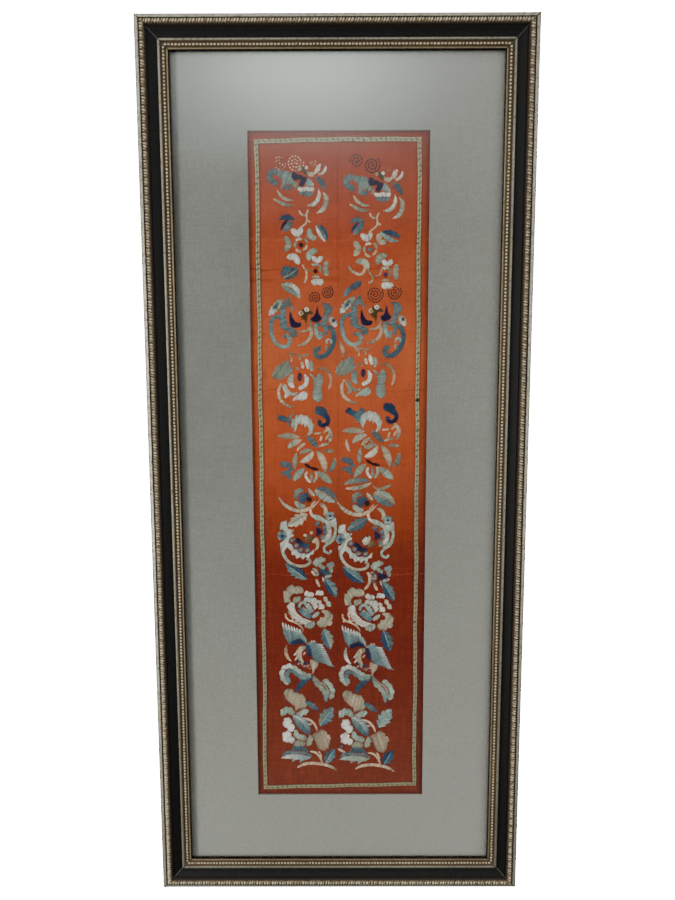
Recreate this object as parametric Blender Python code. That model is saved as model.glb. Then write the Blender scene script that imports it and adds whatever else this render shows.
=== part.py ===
"""A framed embroidered sleeve band, upright as it hangs, facing -Y.

Two joined silk bands with a ribbon trim are stretched behind a mat board and a
sheet of glass, in a deep mitred moulding. The origin lies on the back of the
top rail, half way along it, where the picture meets the wall. Sizes in metres.
"""

import math

import bmesh
import bpy

# Driving dimensions
FRAME_WIDTH = 0.400
FRAME_HEIGHT = 0.930
FACE_WIDTH = 0.033
REBATE_WIDTH = 0.006
FIT_GAP = 0.0003

WINDOW_WIDTH = 0.185
WINDOW_HEIGHT = 0.717
WINDOW_SHIFT_X = 0.0013
WINDOW_SHIFT_Z = -0.0006

SILK_TUCK = 0.010
SILK_SEAM_GAP = 0.0003
SILK_CREASE_DEPTH = 0.0003
SILK_CREASE_HALF_WIDTH = 0.003

RIBBON_OUTER_WIDTH = 0.172
RIBBON_OUTER_HEIGHT = 0.703
RIBBON_WIDTH = 0.0048
RIBBON_SHIFT_X = 0.0002
RIBBON_SHIFT_Z = -0.0008

# Thickness of each layer, listed from the back of the picture to its front
BACKING_RECESS = 0.0018
BACKING_THICKNESS = 0.0030
SILK_THICKNESS = 0.0010
RIBBON_THICKNESS = 0.0010
MAT_THICKNESS = 0.0022
MAT_EDGE_ROUND = 0.0005
GLASS_THICKNESS = 0.0020

# Heights worked out from those: distance in front of the wall
SILK_BACK = BACKING_RECESS + BACKING_THICKNESS + FIT_GAP
SILK_FRONT = SILK_BACK + SILK_THICKNESS
RIBBON_BACK = SILK_FRONT + FIT_GAP
MAT_BACK = SILK_FRONT + FIT_GAP
GLASS_BACK = MAT_BACK + MAT_THICKNESS + FIT_GAP
LIP_UNDERSIDE = GLASS_BACK + GLASS_THICKNESS + FIT_GAP

# Where the layers lie in the frame
REBATE_INSET = FACE_WIDTH - REBATE_WIDTH
ORIGIN_BELOW_TOP = REBATE_INSET / 2
CENTRE_Z = ORIGIN_BELOW_TOP - FRAME_HEIGHT / 2
REBATE_OPENING_WIDTH = FRAME_WIDTH - 2 * REBATE_INSET
REBATE_OPENING_HEIGHT = FRAME_HEIGHT - 2 * REBATE_INSET

# Creases pressed across the silk: height above the centre of the picture
SILK_CREASES = (0.251, 0.222, -0.031, -0.150)


def clear_scene():
    """Take every object out of the open scene."""
    for item in list(bpy.data.objects):
        bpy.data.objects.remove(item, do_unlink=True)


def make_material(name, colour, roughness, metallic=0.0, alpha=1.0):
    """A plain finish with one colour."""
    material = bpy.data.materials.new(name)
    material.use_nodes = True
    shader = material.node_tree.nodes["Principled BSDF"]
    shader.inputs["Base Color"].default_value = (*colour, 1.0)
    shader.inputs["Roughness"].default_value = roughness
    shader.inputs["Metallic"].default_value = metallic
    shader.inputs["Alpha"].default_value = alpha
    return material


def add_piece(name, mesh, material):
    """Put a finished mesh in the scene under the piece's name."""
    mesh.materials.append(material)
    piece = bpy.data.objects.new(name, mesh)
    bpy.context.scene.collection.objects.link(piece)
    return piece


def arc(u_start, u_end, v_start, v_end, rise, steps):
    """Points of a rounded ridge between two feet, without the feet themselves."""
    points = []
    for step in range(1, steps):
        share = step / steps
        u = u_start + (u_end - u_start) * (1 - math.cos(math.pi * share)) / 2
        v = v_start + (v_end - v_start) * share + rise * math.sin(math.pi * share)
        points.append((u, v))
    return points


def moulding_profile():
    """Section of the moulding: u runs in from the outer edge, v out from the wall."""
    mm = 0.001
    silver_edge = [(0.0, 17.5), (0.9, 18.7), (4.0, 20.2)]
    groove = [(4.3, 19.3), (5.4, 19.2)]
    ornament_feet = [(5.8, 20.0), (11.0, 19.6)]
    quirk = [(11.2, 18.2), (12.2, 18.2)]
    scoop = [(12.5, 18.9), (15.0, 17.2), (18.5, 15.7), (22.0, 15.0)]
    fillet_feet = [(22.3, 16.2), (25.0, 16.2)]
    bead_bed = [(25.2, 14.9), (26.7, 14.8), (29.7, 14.8), (30.3, 14.1)]
    lip = [(31.5, 14.8), (32.6, 14.2), (33.0, 13.2)]

    front = silver_edge + groove
    front += [ornament_feet[0]]
    front += arc(ornament_feet[0][0], ornament_feet[1][0], ornament_feet[0][1], ornament_feet[1][1], 4.0, 8)
    front += [ornament_feet[1]]
    front += quirk + scoop
    front += [fillet_feet[0]]
    front += arc(fillet_feet[0][0], fillet_feet[1][0], fillet_feet[0][1], fillet_feet[1][1], 1.0, 4)
    front += [fillet_feet[1]]
    front += bead_bed[:2]
    front += arc(bead_bed[1][0], bead_bed[2][0], bead_bed[1][1], bead_bed[2][1], 1.5, 6)
    front += bead_bed[2:] + lip
    outline = [(u * mm, v * mm) for u, v in front]
    outline += [(FACE_WIDTH, LIP_UNDERSIDE), (REBATE_INSET, LIP_UNDERSIDE)]
    outline += [(REBATE_INSET, 0.0), (0.0, 0.0)]
    return outline


def mitred_strip(name, outline, side, width, height, centre_x, centre_z, material):
    """One side of a mitred rectangle: outline holds (distance in, distance out)."""
    mitre_cut = FIT_GAP / math.sqrt(2)
    across = side in ("left", "right")
    outer_half = (width if across else height) / 2
    length_half = (height if across else width) / 2
    sign = -1 if side in ("left", "bottom") else 1

    def corner(u, v, end):
        along = end * (length_half - u - mitre_cut)
        off = sign * (outer_half - u)
        if across:
            return (centre_x + off, -v, centre_z + along)
        return (centre_x + along, -v, centre_z + off)

    section = bmesh.new()
    start = [section.verts.new(corner(u, v, -1)) for u, v in outline]
    cap = section.faces.new(start)
    grown = bmesh.ops.extrude_face_region(section, geom=[cap], use_keep_orig=True)
    far_end = [item for item in grown["geom"] if isinstance(item, bmesh.types.BMVert)]
    for vert in far_end:
        if across:
            vert.co.z = 2 * centre_z - vert.co.z
        else:
            vert.co.x = 2 * centre_x - vert.co.x
    bmesh.ops.recalc_face_normals(section, faces=section.faces)
    mesh = bpy.data.meshes.new(name)
    section.to_mesh(mesh)
    section.free()
    return add_piece(name, mesh, material)


def board(name, width, height, back, thickness, centre_x, centre_z, material):
    """A flat rectangular sheet, standing upright."""
    bpy.ops.mesh.primitive_cube_add(size=1.0)
    piece = bpy.context.active_object
    piece.name = name
    piece.data.name = name
    for vert in piece.data.vertices:
        vert.co.x *= width
        vert.co.y *= thickness
        vert.co.z *= height
    piece.location = (centre_x, -(back + thickness / 2), centre_z)
    piece.data.materials.append(material)
    return piece


def frame_rails(material):
    """Four mitred lengths of moulding, a hair apart at each mitre."""
    outline = moulding_profile()
    for side in ("top", "bottom", "left", "right"):
        name = "frame_rail_" + side
        rail = mitred_strip(name, outline, side, FRAME_WIDTH, FRAME_HEIGHT, 0.0, CENTRE_Z, material)
        rail.data.shade_smooth()
        rail.data.set_sharp_from_angle(angle=math.radians(30))


def fitted_board(name, back, thickness, material):
    """A board cut to drop into the rebate behind the lip."""
    width = REBATE_OPENING_WIDTH - 2 * FIT_GAP
    height = REBATE_OPENING_HEIGHT - 2 * FIT_GAP
    return board(name, width, height, back, thickness, 0.0, CENTRE_Z, material)


def mat_board(material):
    """The mat: a covered board with one window and softly rounded edges."""
    mat = fitted_board("mat_board", MAT_BACK, MAT_THICKNESS, material)
    cutter = board(
        "window_cutter",
        WINDOW_WIDTH,
        WINDOW_HEIGHT,
        MAT_BACK - MAT_THICKNESS,
        3 * MAT_THICKNESS,
        WINDOW_SHIFT_X,
        CENTRE_Z + WINDOW_SHIFT_Z,
        material,
    )
    cutter.hide_render = True
    cutter.display_type = "WIRE"
    window = mat.modifiers.new("window", "BOOLEAN")
    window.operation = "DIFFERENCE"
    window.object = cutter
    edge = mat.modifiers.new("soft_edge", "BEVEL")
    edge.width = MAT_EDGE_ROUND
    edge.segments = 2


def silk_band(side, material):
    """One long silk band, flat but for the creases pressed across it."""
    panel_width = WINDOW_WIDTH + 2 * SILK_TUCK
    panel_height = WINDOW_HEIGHT + 2 * SILK_TUCK
    sign = -1 if side == "left" else 1
    seam_x = sign * SILK_SEAM_GAP / 2
    outer_x = sign * panel_width / 2
    top = CENTRE_Z + panel_height / 2
    bottom = CENTRE_Z - panel_height / 2

    outline = [(top, SILK_BACK), (top, SILK_FRONT)]
    for height in SILK_CREASES:
        middle = CENTRE_Z + height
        outline.append((middle + SILK_CREASE_HALF_WIDTH, SILK_FRONT))
        outline.append((middle, SILK_FRONT - SILK_CREASE_DEPTH))
        outline.append((middle - SILK_CREASE_HALF_WIDTH, SILK_FRONT))
    outline += [(bottom, SILK_FRONT), (bottom, SILK_BACK)]

    section = bmesh.new()
    edge = [section.verts.new((seam_x, -v, z)) for z, v in outline]
    cap = section.faces.new(edge)
    grown = bmesh.ops.extrude_face_region(section, geom=[cap], use_keep_orig=True)
    far_edge = [item for item in grown["geom"] if isinstance(item, bmesh.types.BMVert)]
    bmesh.ops.translate(section, verts=far_edge, vec=(outer_x - seam_x, 0.0, 0.0))
    bmesh.ops.recalc_face_normals(section, faces=section.faces)
    name = "silk_band_" + side
    mesh = bpy.data.meshes.new(name)
    section.to_mesh(mesh)
    section.free()
    add_piece(name, mesh, material)


def ribbon_trims(material):
    """Four lengths of woven ribbon, laid as a mitred rectangle on the silk."""
    front = RIBBON_BACK + RIBBON_THICKNESS
    outline = [(0.0, RIBBON_BACK), (0.0, front), (RIBBON_WIDTH, front), (RIBBON_WIDTH, RIBBON_BACK)]
    centre_z = CENTRE_Z + RIBBON_SHIFT_Z
    for side in ("top", "bottom", "left", "right"):
        name = "ribbon_trim_" + side
        mitred_strip(
            name, outline, side, RIBBON_OUTER_WIDTH, RIBBON_OUTER_HEIGHT, RIBBON_SHIFT_X, centre_z, material
        )


clear_scene()
frame_rails(make_material("moulding", (0.035, 0.034, 0.032), 0.45))
fitted_board("glazing", GLASS_BACK, GLASS_THICKNESS, make_material("glass", (0.95, 0.97, 0.96), 0.05, alpha=0.12))
mat_board(make_material("mat_cloth", (0.24, 0.25, 0.23), 0.9))
silk_red = make_material("silk", (0.40, 0.075, 0.018), 0.55)
silk_band("left", silk_red)
silk_band("right", silk_red)
ribbon_trims(make_material("ribbon", (0.42, 0.38, 0.23), 0.7))
fitted_board("backing_board", BACKING_RECESS, BACKING_THICKNESS, make_material("backing", (0.33, 0.22, 0.12), 0.85))
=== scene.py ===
# %% [markdown]
# # A framed embroidered sleeve band
#
# The real object is a pair of long silk sleeve bands, worked in satin stitch with silk floss. They were
# joined edge to edge, trimmed with a narrow woven ribbon, and framed under glass with a grey mat in a
# dark moulding with silvered edges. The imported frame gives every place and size. This lesson adds the
# finishes, the moulding's ornament, the cloth and, stitch by stitch, the embroidery.

# %% Load the frame
import math
import random

import bpy
import numpy as np
from mathutils import Matrix, Vector


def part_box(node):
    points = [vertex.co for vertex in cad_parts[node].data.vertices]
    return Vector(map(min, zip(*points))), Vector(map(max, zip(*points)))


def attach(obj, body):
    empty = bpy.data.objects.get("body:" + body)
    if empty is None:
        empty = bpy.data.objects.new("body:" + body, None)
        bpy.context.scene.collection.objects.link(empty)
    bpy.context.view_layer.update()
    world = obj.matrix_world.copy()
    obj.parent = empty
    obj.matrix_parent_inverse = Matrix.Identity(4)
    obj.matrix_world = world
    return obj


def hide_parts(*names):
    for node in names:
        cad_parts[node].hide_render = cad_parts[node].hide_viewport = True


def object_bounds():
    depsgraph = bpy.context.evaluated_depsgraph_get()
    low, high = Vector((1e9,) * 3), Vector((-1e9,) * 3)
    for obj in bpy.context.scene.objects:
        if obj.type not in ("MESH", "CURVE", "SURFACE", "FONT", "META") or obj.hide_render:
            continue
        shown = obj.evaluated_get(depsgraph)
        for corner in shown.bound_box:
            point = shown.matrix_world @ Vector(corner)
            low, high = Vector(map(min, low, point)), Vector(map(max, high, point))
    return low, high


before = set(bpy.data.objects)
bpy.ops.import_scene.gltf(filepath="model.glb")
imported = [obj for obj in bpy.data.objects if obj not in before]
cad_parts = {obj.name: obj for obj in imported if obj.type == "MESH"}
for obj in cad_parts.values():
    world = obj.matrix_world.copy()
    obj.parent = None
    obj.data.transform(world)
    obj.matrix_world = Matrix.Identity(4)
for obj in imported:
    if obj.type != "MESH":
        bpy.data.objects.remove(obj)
cad_low, cad_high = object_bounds()

MM = 0.001
WIDTH = (cad_high.x - cad_low.x) / MM
HEIGHT = (cad_high.z - cad_low.z) / MM
CENTRE_Z = (cad_high.z + cad_low.z) / 2
print("frame", round(WIDTH), "by", round(HEIGHT), "mm, nodes:", sorted(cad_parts))

# %% [markdown]
# ## The camera
#
# The photo was taken by hand from about three quarters of a metre away, a little above the middle of
# the picture and tipped down, which makes the frame look narrower at its foot. A wide lens at the same
# place gives the same shape, so nothing on the object has to be bent to match.

# %% Set the camera
CAMERA_DISTANCE = 0.727
CAMERA_RISE = 0.116
CAMERA_ANGLES = (83.42, 0.146, 0.114)
CAMERA_LENS = 27.2

camera = bpy.data.objects.new("camera", bpy.data.cameras.new("camera"))
camera.data.lens = CAMERA_LENS
camera.location = (0.0008, -CAMERA_DISTANCE, CENTRE_Z + CAMERA_RISE)
camera.rotation_euler = [math.radians(angle) for angle in CAMERA_ANGLES]
bpy.context.scene.collection.objects.link(camera)
bpy.context.scene.camera = camera

# %% [markdown]
# ## Small helpers for nodes
#
# Every finish below is built from shader nodes, so a few short helpers keep them readable. What a node
# puts out is wrapped as a value that remembers its tree, so a sum such as height * 2 - 1 adds the Math
# nodes by itself. The others wrap the nodes used most: a colour mix, a ramp, noise and a bump.


# %% Helpers for materials
def srgb(red, green, blue):
    """A colour as seen on a screen, 0 to 255, turned into the light values that nodes use."""
    parts = []
    for part in (red, green, blue):
        share = part / 255
        parts.append(share / 12.92 if share <= 0.04045 else ((share + 0.055) / 1.055) ** 2.4)
    return (*parts, 1.0)


class Value:
    """What a node puts out. Python's own signs add the Math nodes that work on it."""

    def __init__(self, tree, socket):
        self.tree = tree
        self.socket = socket

    def __add__(self, other):
        return maths("ADD", self, other)

    def __radd__(self, other):
        return maths("ADD", other, self)

    def __sub__(self, other):
        return maths("SUBTRACT", self, other)

    def __rsub__(self, other):
        return maths("SUBTRACT", other, self)

    def __mul__(self, other):
        return maths("MULTIPLY", self, other)

    def __truediv__(self, other):
        return maths("DIVIDE", self, other)

    def __rpow__(self, other):
        return maths("POWER", other, self)

    def __abs__(self):
        return maths("ABSOLUTE", self)


class Outputs:
    """A node that was just added: made["Color"] or made[0] is the value it puts out there."""

    def __init__(self, tree, node):
        self.tree = tree
        self.node = node

    def __getitem__(self, key):
        return Value(self.tree, self.node.outputs[key])


def fill(socket, value):
    """Link a value to a socket, or set the socket to a plain number or colour."""
    if isinstance(value, Value):
        value.tree.links.new(value.socket, socket)
    else:
        socket.default_value = value


def add_node(kind, inputs, tree=None, **settings):
    """Add a shader node to the tree of its inputs, set its options and fill its sockets."""
    for value in inputs.values():
        if isinstance(value, Value):
            tree = value.tree
    made = tree.nodes.new("ShaderNode" + kind)
    for name, value in settings.items():
        setattr(made, name, value)
    for name, value in inputs.items():
        fill(made.inputs[name], value)
    return Outputs(tree, made)


def maths(operation, first, second=0.0, clamp=False):
    """The result of one sum."""
    return add_node("Math", {0: first, 1: second}, operation=operation, use_clamp=clamp)[0]


def bell(value):
    """A hump that is 1 where the value is 0 and falls away on both sides."""
    return 2.718 ** (value * value * -1.0)


def axes(vector):
    """The three parts of a vector."""
    parts = add_node("SeparateXYZ", {0: vector})
    return parts[0], parts[1], parts[2]


def blend(share, first, second, blend_type="MIX"):
    """A mix of two colours."""
    sockets = {0: share, 6: first, 7: second}
    return add_node("Mix", sockets, data_type="RGBA", blend_type=blend_type)[2]


def lighter(share, colour, times):
    """A colour made so many times as light where the share is 1."""
    return blend(share, colour, (times, times, times, 1.0), "MULTIPLY")


def ramp(factor, stops):
    """A colour read from a row of (position, colour) stops."""
    made = add_node("ValToRGB", {0: factor})
    elements = made.node.color_ramp.elements
    while len(elements) < len(stops):
        elements.new(0.5)
    for element, (position, colour) in zip(elements, stops):
        element.position = position
        element.color = colour
    return made[0]


def remap(value, low, high, to_low=0.0, to_high=1.0):
    """A value moved from one range to another, held at both ends."""
    return add_node("MapRange", {0: value, 1: low, 2: high, 3: to_low, 4: to_high})[0]


def noise(vector, scale, detail=2.0, roughness=0.5):
    """Soft random clouds, from 0 to 1."""
    sockets = {"Vector": vector, "Scale": scale, "Detail": detail, "Roughness": roughness}
    return add_node("TexNoise", sockets)[0]


def stretched(vector, scale):
    """Coordinates with each axis scaled by its own amount."""
    return add_node("Mapping", {"Vector": vector, "Scale": scale})[0]


def bump(height, distance, strength=1.0):
    """A surface normal raised by a height from 0 to 1."""
    return add_node("Bump", {"Height": height, "Distance": distance, "Strength": strength})[0]


def new_group(name, inputs, outputs):
    """An empty node group: inputs are (name, kind, value), outputs are names of plain numbers."""
    group = bpy.data.node_groups.new(name, "ShaderNodeTree")
    for socket_name, kind, value in inputs:
        socket = group.interface.new_socket(socket_name, in_out="INPUT", socket_type="NodeSocket" + kind)
        if value is not None:
            socket.default_value = value
    for socket_name in outputs:
        group.interface.new_socket(socket_name, in_out="OUTPUT", socket_type="NodeSocketFloat")
    given = Outputs(group, group.nodes.new("NodeGroupInput"))
    return group, given, group.nodes.new("NodeGroupOutput").inputs


def use_group(group, **inputs):
    """Place a node group in a material: warp_pitch stands for its socket Warp Pitch, and so on."""
    sockets = {name.replace("_", " ").title(): value for name, value in inputs.items()}
    return add_node("Group", sockets, node_tree=group)


def new_material(name):
    """A material with its shader and the object's own coordinates."""
    material = bpy.data.materials.new(name)
    material.use_nodes = True
    tree = material.node_tree
    return material, tree.nodes["Principled BSDF"], add_node("TexCoord", {}, tree)["Object"]


def run_coordinates(place):
    """The map that runs along a side and across it, for mouldings and ribbon."""
    return add_node("UVMap", {}, place.tree, uv_map="run")[0]


def connect(shader, **inputs):
    """Link or set the shader's own sockets: base_color stands for Base Color, and so on."""
    for name, value in inputs.items():
        fill(shader.inputs[name.replace("_", " ").title().replace("Ior", "IOR")], value)


# %% [markdown]
# ## Effects that several finishes share
#
# Three effects are each a node group, and woven threads and old age come back in more than one
# material. Woven threads give cloth its fine ribs and the thicker threads that run through it. Old age
# gives patchy wear and dust. Fine grain gives the long streaks of brushed paint and wood.


# %% Node group: woven threads
def make_weave_group():
    group, given, result = new_group(
        "woven_threads",
        [("Vector", "Vector", None), ("Warp Pitch", "Float", 0.5), ("Weft Pitch", "Float", 0.5)],
        ["Height", "Slubs"],
    )
    across, _, up = axes(given["Vector"])
    millimetre_turn = 2 * math.pi / MM
    warp = maths("SINE", across * millimetre_turn / given["Warp Pitch"])
    weft = maths("SINE", up * millimetre_turn / given["Weft Pitch"])
    fill(result["Height"], (warp + weft) * 0.25 + 0.5)
    thick_warp = noise(stretched(given["Vector"], (1500, 1, 35)), 1.0)
    thick_weft = noise(stretched(given["Vector"], (30, 1, 1400)), 1.0)
    fill(result["Slubs"], (thick_warp + thick_weft) * 0.5)
    return group


weave_group = make_weave_group()


# %% Node group: old age
def make_age_group():
    group, given, result = new_group(
        "old_age",
        [("Vector", "Vector", None), ("Spread", "Float", 0.5), ("Scale", "Float", 120.0)],
        ["Worn", "Stain"],
    )
    low = 0.72 - given["Spread"] * 0.45
    fill(result["Worn"], remap(noise(given["Vector"], given["Scale"], 8.0, 0.7), low, low + 0.14))
    fill(result["Stain"], remap(noise(given["Vector"], 9.0, 3.0), 0.35, 0.68))
    return group


age_group = make_age_group()


# %% Node group: fine grain
def make_grain_group():
    group, given, result = new_group(
        "fine_grain",
        [("Run", "Vector", None), ("Length", "Float", 60.0), ("Fineness", "Float", 1800.0)],
        ["Streaks"],
    )
    along, across, _ = axes(given["Run"])
    run = add_node("CombineXYZ", {0: along * given["Length"], 1: across * given["Fineness"]})[0]
    fill(result["Streaks"], noise(run, 1.0, 5.0, 0.65))
    return group


grain_group = make_grain_group()

# %% [markdown]
# ## Small helpers for modelling
#
# The frame leaves its nodes selected, so everything is deselected before a new piece is started. A
# finished piece keeps its place in its mesh and its object at the origin, and rides on the one body.


# %% Helpers for pieces
def deselect():
    """Leave nothing selected, so that the next operator acts on its own piece."""
    bpy.ops.object.select_all(action="DESELECT")


def start_piece(name):
    """Name the primitive that was just added, and put its place into its mesh."""
    piece = bpy.context.active_object
    bpy.ops.object.transform_apply(location=True, rotation=True, scale=True)
    piece.name = name
    piece.data.name = name
    return piece


def point_outwards():
    """Turn every face of the piece in edit mode outwards, and leave edit mode."""
    bpy.ops.mesh.select_all(action="SELECT")
    bpy.ops.mesh.normals_make_consistent(inside=False)
    bpy.ops.object.mode_set(mode="OBJECT")


def finish_piece(piece, material, replaced=()):
    """Dress a finished piece, let it ride on the one body, and hide the frame's parts that it replaces."""
    piece.data.materials.clear()
    piece.data.materials.append(material)
    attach(piece, "root")
    if replaced:
        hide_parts(*replaced)
    return piece


def choose(piece):
    """Make a piece the only one selected, and the active one."""
    deselect()
    piece.select_set(True)
    bpy.context.view_layer.objects.active = piece


def add_modifier(piece, kind, **settings):
    """Add a modifier and make it part of the mesh."""
    choose(piece)
    made = piece.modifiers.new(kind.lower(), kind)
    for name, value in settings.items():
        setattr(made, name, value)
    bpy.ops.object.modifier_apply(modifier=made.name)


def smooth(piece, degrees):
    """Smooth the shading but keep the sharp corners."""
    choose(piece)
    bpy.ops.object.shade_smooth_by_angle(angle=math.radians(degrees))


# %% [markdown]
# ## The moulding
#
# A framer runs one long moulding and mitres it. From the outside in, it has a silvered edge, a pressed
# leaf ornament, a wide black scoop, a bright fillet, a row of pearls and a small lip that holds the
# glass. The section is drawn as a ring of points, extruded to the rail's length and cut at 45 degrees.
# Each side is made lying along the top, and then turned about the middle of the picture into place.

# %% The moulding's section
SECTION = (
    # distance in from the outer edge, distance out from the wall, in millimetres
    (0.0, 0.0), (0.0, 17.2), (0.3, 18.0), (0.9, 18.7), (2.4, 19.6), (4.1, 20.2), (4.7, 20.0), (4.9, 19.2),
    (5.6, 19.1), (6.0, 19.3), (12.0, 18.9), (12.3, 17.9), (12.8, 17.8), (13.1, 18.4), (13.5, 18.5),
    (14.4, 18.0), (16.0, 16.9), (18.5, 15.8), (20.5, 15.2), (21.9, 15.0), (22.2, 15.3), (22.4, 16.4),
    (22.9, 17.0), (23.7, 17.2), (24.5, 17.0), (24.9, 16.4), (25.1, 15.0), (25.5, 14.7), (26.7, 14.7),
    (29.7, 14.7), (30.0, 14.2), (30.4, 14.0), (30.9, 14.4), (31.5, 14.7), (32.2, 14.5), (32.8, 13.9),
    (33.0, 13.2), (33.0, 11.2), (27.0, 11.2), (27.0, 0.0),
)
MOULDING_WIDTH = 33.0
MITRE_CLEARANCE = 0.08
SIDES = {
    # how far each side is turned about the middle, and whether it is a long one
    "top": (0, False),
    "bottom": (180, False),
    "left": (-90, True),
    "right": (90, True),
}


# %% Helpers for the four sides
def side_sizes(is_long):
    """Half the length of a side, and how far its outer edge lies from the middle, in millimetres."""
    return (HEIGHT / 2, WIDTH / 2) if is_long else (WIDTH / 2, HEIGHT / 2)


def cut_mitres(half_length, reach):
    """Cut both ends of the active piece along the 45 degree lines through the frame's corners."""
    bpy.ops.object.mode_set(mode="EDIT")
    for end in (-1, 1):
        bpy.ops.mesh.select_all(action="SELECT")
        bpy.ops.mesh.bisect(
            plane_co=(end * (half_length - MITRE_CLEARANCE) * MM, 0, reach * MM),
            plane_no=(end, 0, -1),
            use_fill=True,
            clear_outer=True,
        )
    bpy.ops.object.mode_set(mode="OBJECT")


def lay_run_coordinates(piece, reach):
    """A UV map in metres: how far along the side, and how far in from its outer edge."""
    layer = piece.data.uv_layers.new(name="run")
    places = np.empty(len(piece.data.vertices) * 3)
    piece.data.vertices.foreach_get("co", places)
    places = places.reshape(-1, 3)
    corners = np.empty(len(piece.data.loops), dtype=np.int32)
    piece.data.loops.foreach_get("vertex_index", corners)
    run = np.stack([places[:, 0], reach * MM - places[:, 2]], axis=1)[corners]
    layer.data.foreach_set("uv", run.ravel())


def extrude_section(name, section, half_length, reach, steps=1):
    """Draw a section at the left end of the top, and extrude it along the whole side."""
    deselect()
    bpy.ops.mesh.primitive_circle_add(vertices=len(section), radius=10 * MM, fill_type="NGON")
    piece = start_piece(name)
    for point, (inward, outward) in zip(piece.data.vertices, section):
        point.co = (-half_length * MM, -outward * MM, (reach - inward) * MM)
    bpy.ops.object.mode_set(mode="EDIT")
    bpy.ops.mesh.select_all(action="SELECT")
    for step in range(steps):
        bpy.ops.mesh.extrude_region_move(TRANSFORM_OT_translate={"value": (2 * half_length / steps * MM, 0,
            0)})
    point_outwards()
    cut_mitres(half_length, reach)
    lay_run_coordinates(piece, reach)
    return piece


def turn_into_place(piece, degrees):
    """Turn a finished side about the middle of the picture."""
    turn = Matrix.Rotation(math.radians(degrees), 4, "Y")
    piece.data.transform(Matrix.Translation((0, 0, CENTRE_Z)) @ turn)
    piece.data.update()


# %% [markdown]
# The finish changes across the section: silver leaf on the outer edge, brown size in the grooves, black
# paint with long scratches in the scoop, and silver again on the fillet. A map that runs along and
# across each side lets one ramp place all of these, and the wear and the grain follow the moulding.


# %% Material: painted and silvered moulding
def make_moulding_finish():
    material, shader, place = new_material("painted_moulding")
    run = run_coordinates(place)
    across = axes(run)[1]
    share = across / (MOULDING_WIDTH * MM)
    silver = srgb(184, 180, 162)
    bright = srgb(164, 160, 142)
    brown = srgb(48, 34, 20)
    gilt = srgb(164, 150, 120)
    bed = srgb(100, 80, 50)
    black = srgb(4, 4, 4)
    # the last stops, gilt to brown to black over the lip's inner edge, are a painted shadow under the lip
    tones = [(0.0, silver), (4.6, silver), (4.9, brown), (12.2, brown), (12.7, black), (22.1, black),
        (22.4, bright), (24.8, bright), (25.1, brown), (25.8, bed), (29.6, bed), (30.1, brown), (30.8, gilt),
        (32.0, gilt), (32.3, brown), (33.0, black)]
    white = (1.0, 1.0, 1.0, 1.0)
    none = (0.0, 0.0, 0.0, 1.0)
    leaf_shares = [(0.0, white), (4.6, white), (4.9, none), (22.2, none), (22.5, white), (24.8, white),
        (25.1, none), (30.4, none), (31.4, white), (33.0, white)]
    colour = ramp(share, [(inward / MOULDING_WIDTH, tone) for inward, tone in tones])
    leafed = ramp(share, [(inward / MOULDING_WIDTH, part) for inward, part in leaf_shares])
    streaks = use_group(grain_group, run=run, length=90.0, fineness=1400.0)["Streaks"]
    age = use_group(age_group, vector=place, spread=0.5, scale=420.0)
    # silver rubs through to brown size, and black paint is scratched to grey
    rubbed = blend(age["Worn"] * 0.75, colour, srgb(74, 60, 38))
    scratch = remap(streaks, 0.52, 0.72, 0.0, 0.6)
    scratched = blend(scratch, colour, srgb(44, 39, 29))
    joined = blend(leafed, scratched, rubbed)
    # the mitre shows as a dark line in the silver and a pale scratch in the black
    places = axes(place)
    beyond = abs(places[2] - CENTRE_Z) - (HEIGHT - WIDTH) / 2 * MM
    off_mitre = abs(beyond - abs(places[0]))
    mitre = remap(off_mitre, 0.35 * MM, 1.1 * MM, 1.0, 0.0)
    mitre_tone = blend(leafed, srgb(86, 88, 84), srgb(22, 18, 14))
    finish = blend(mitre * 0.8, joined, mitre_tone)
    stained = blend(age["Stain"] * 0.25, finish, srgb(70, 64, 52), "MULTIPLY")
    # the back and the rebate are bare wood, and the outer side is stained dark behind the silver
    depth = places[1]
    wood = blend(streaks, srgb(150, 112, 70), srgb(196, 160, 112))
    is_back = maths("GREATER_THAN", depth, -0.3 * MM)
    is_side = remap(depth, -15.5 * MM, -14.5 * MM)
    on_edge = maths("LESS_THAN", across, 0.05 * MM)
    side_stain_and_painted_light = blend(is_side * on_edge, stained, srgb(38, 30, 24))
    connect(shader, base_color=blend(is_back, side_stain_and_painted_light, wood))
    shine = leafed * remap(age["Worn"], 0.0, 1.0, 0.85, 0.25)
    connect(shader, metallic=shine * (1.0 - is_back))
    rough = remap(leafed, 0.0, 1.0, 0.5, 0.4)
    connect(shader, roughness=streaks * 0.2 + rough)
    connect(shader, specular_ior_level=0.22)
    connect(shader, normal=bump(streaks + age["Worn"], 0.12 * MM, 0.6))
    return material


moulding_finish = make_moulding_finish()


# %% Cut the four rails
def make_rail(side, degrees, is_long):
    piece = extrude_section("moulding_" + side, SECTION, *side_sizes(is_long))
    turn_into_place(piece, degrees)
    smooth(piece, 40)
    return finish_piece(piece, moulding_finish, ["frame_rail_" + side])


for side, (degrees, is_long) in SIDES.items():
    make_rail(side, degrees, is_long)

# %% [markdown]
# ## The pressed ornament and the pearls
#
# On the real moulding the leaf pattern is pressed into a soft coating by a wheel, so it repeats every
# few millimetres along a rounded ridge. Here a fine grid is raised by a short formula: a round section,
# three ribs to each leaf, and a nick between one leaf and the next. The pearls are one small bead,
# modelled once and repeated by an Array modifier.


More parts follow.
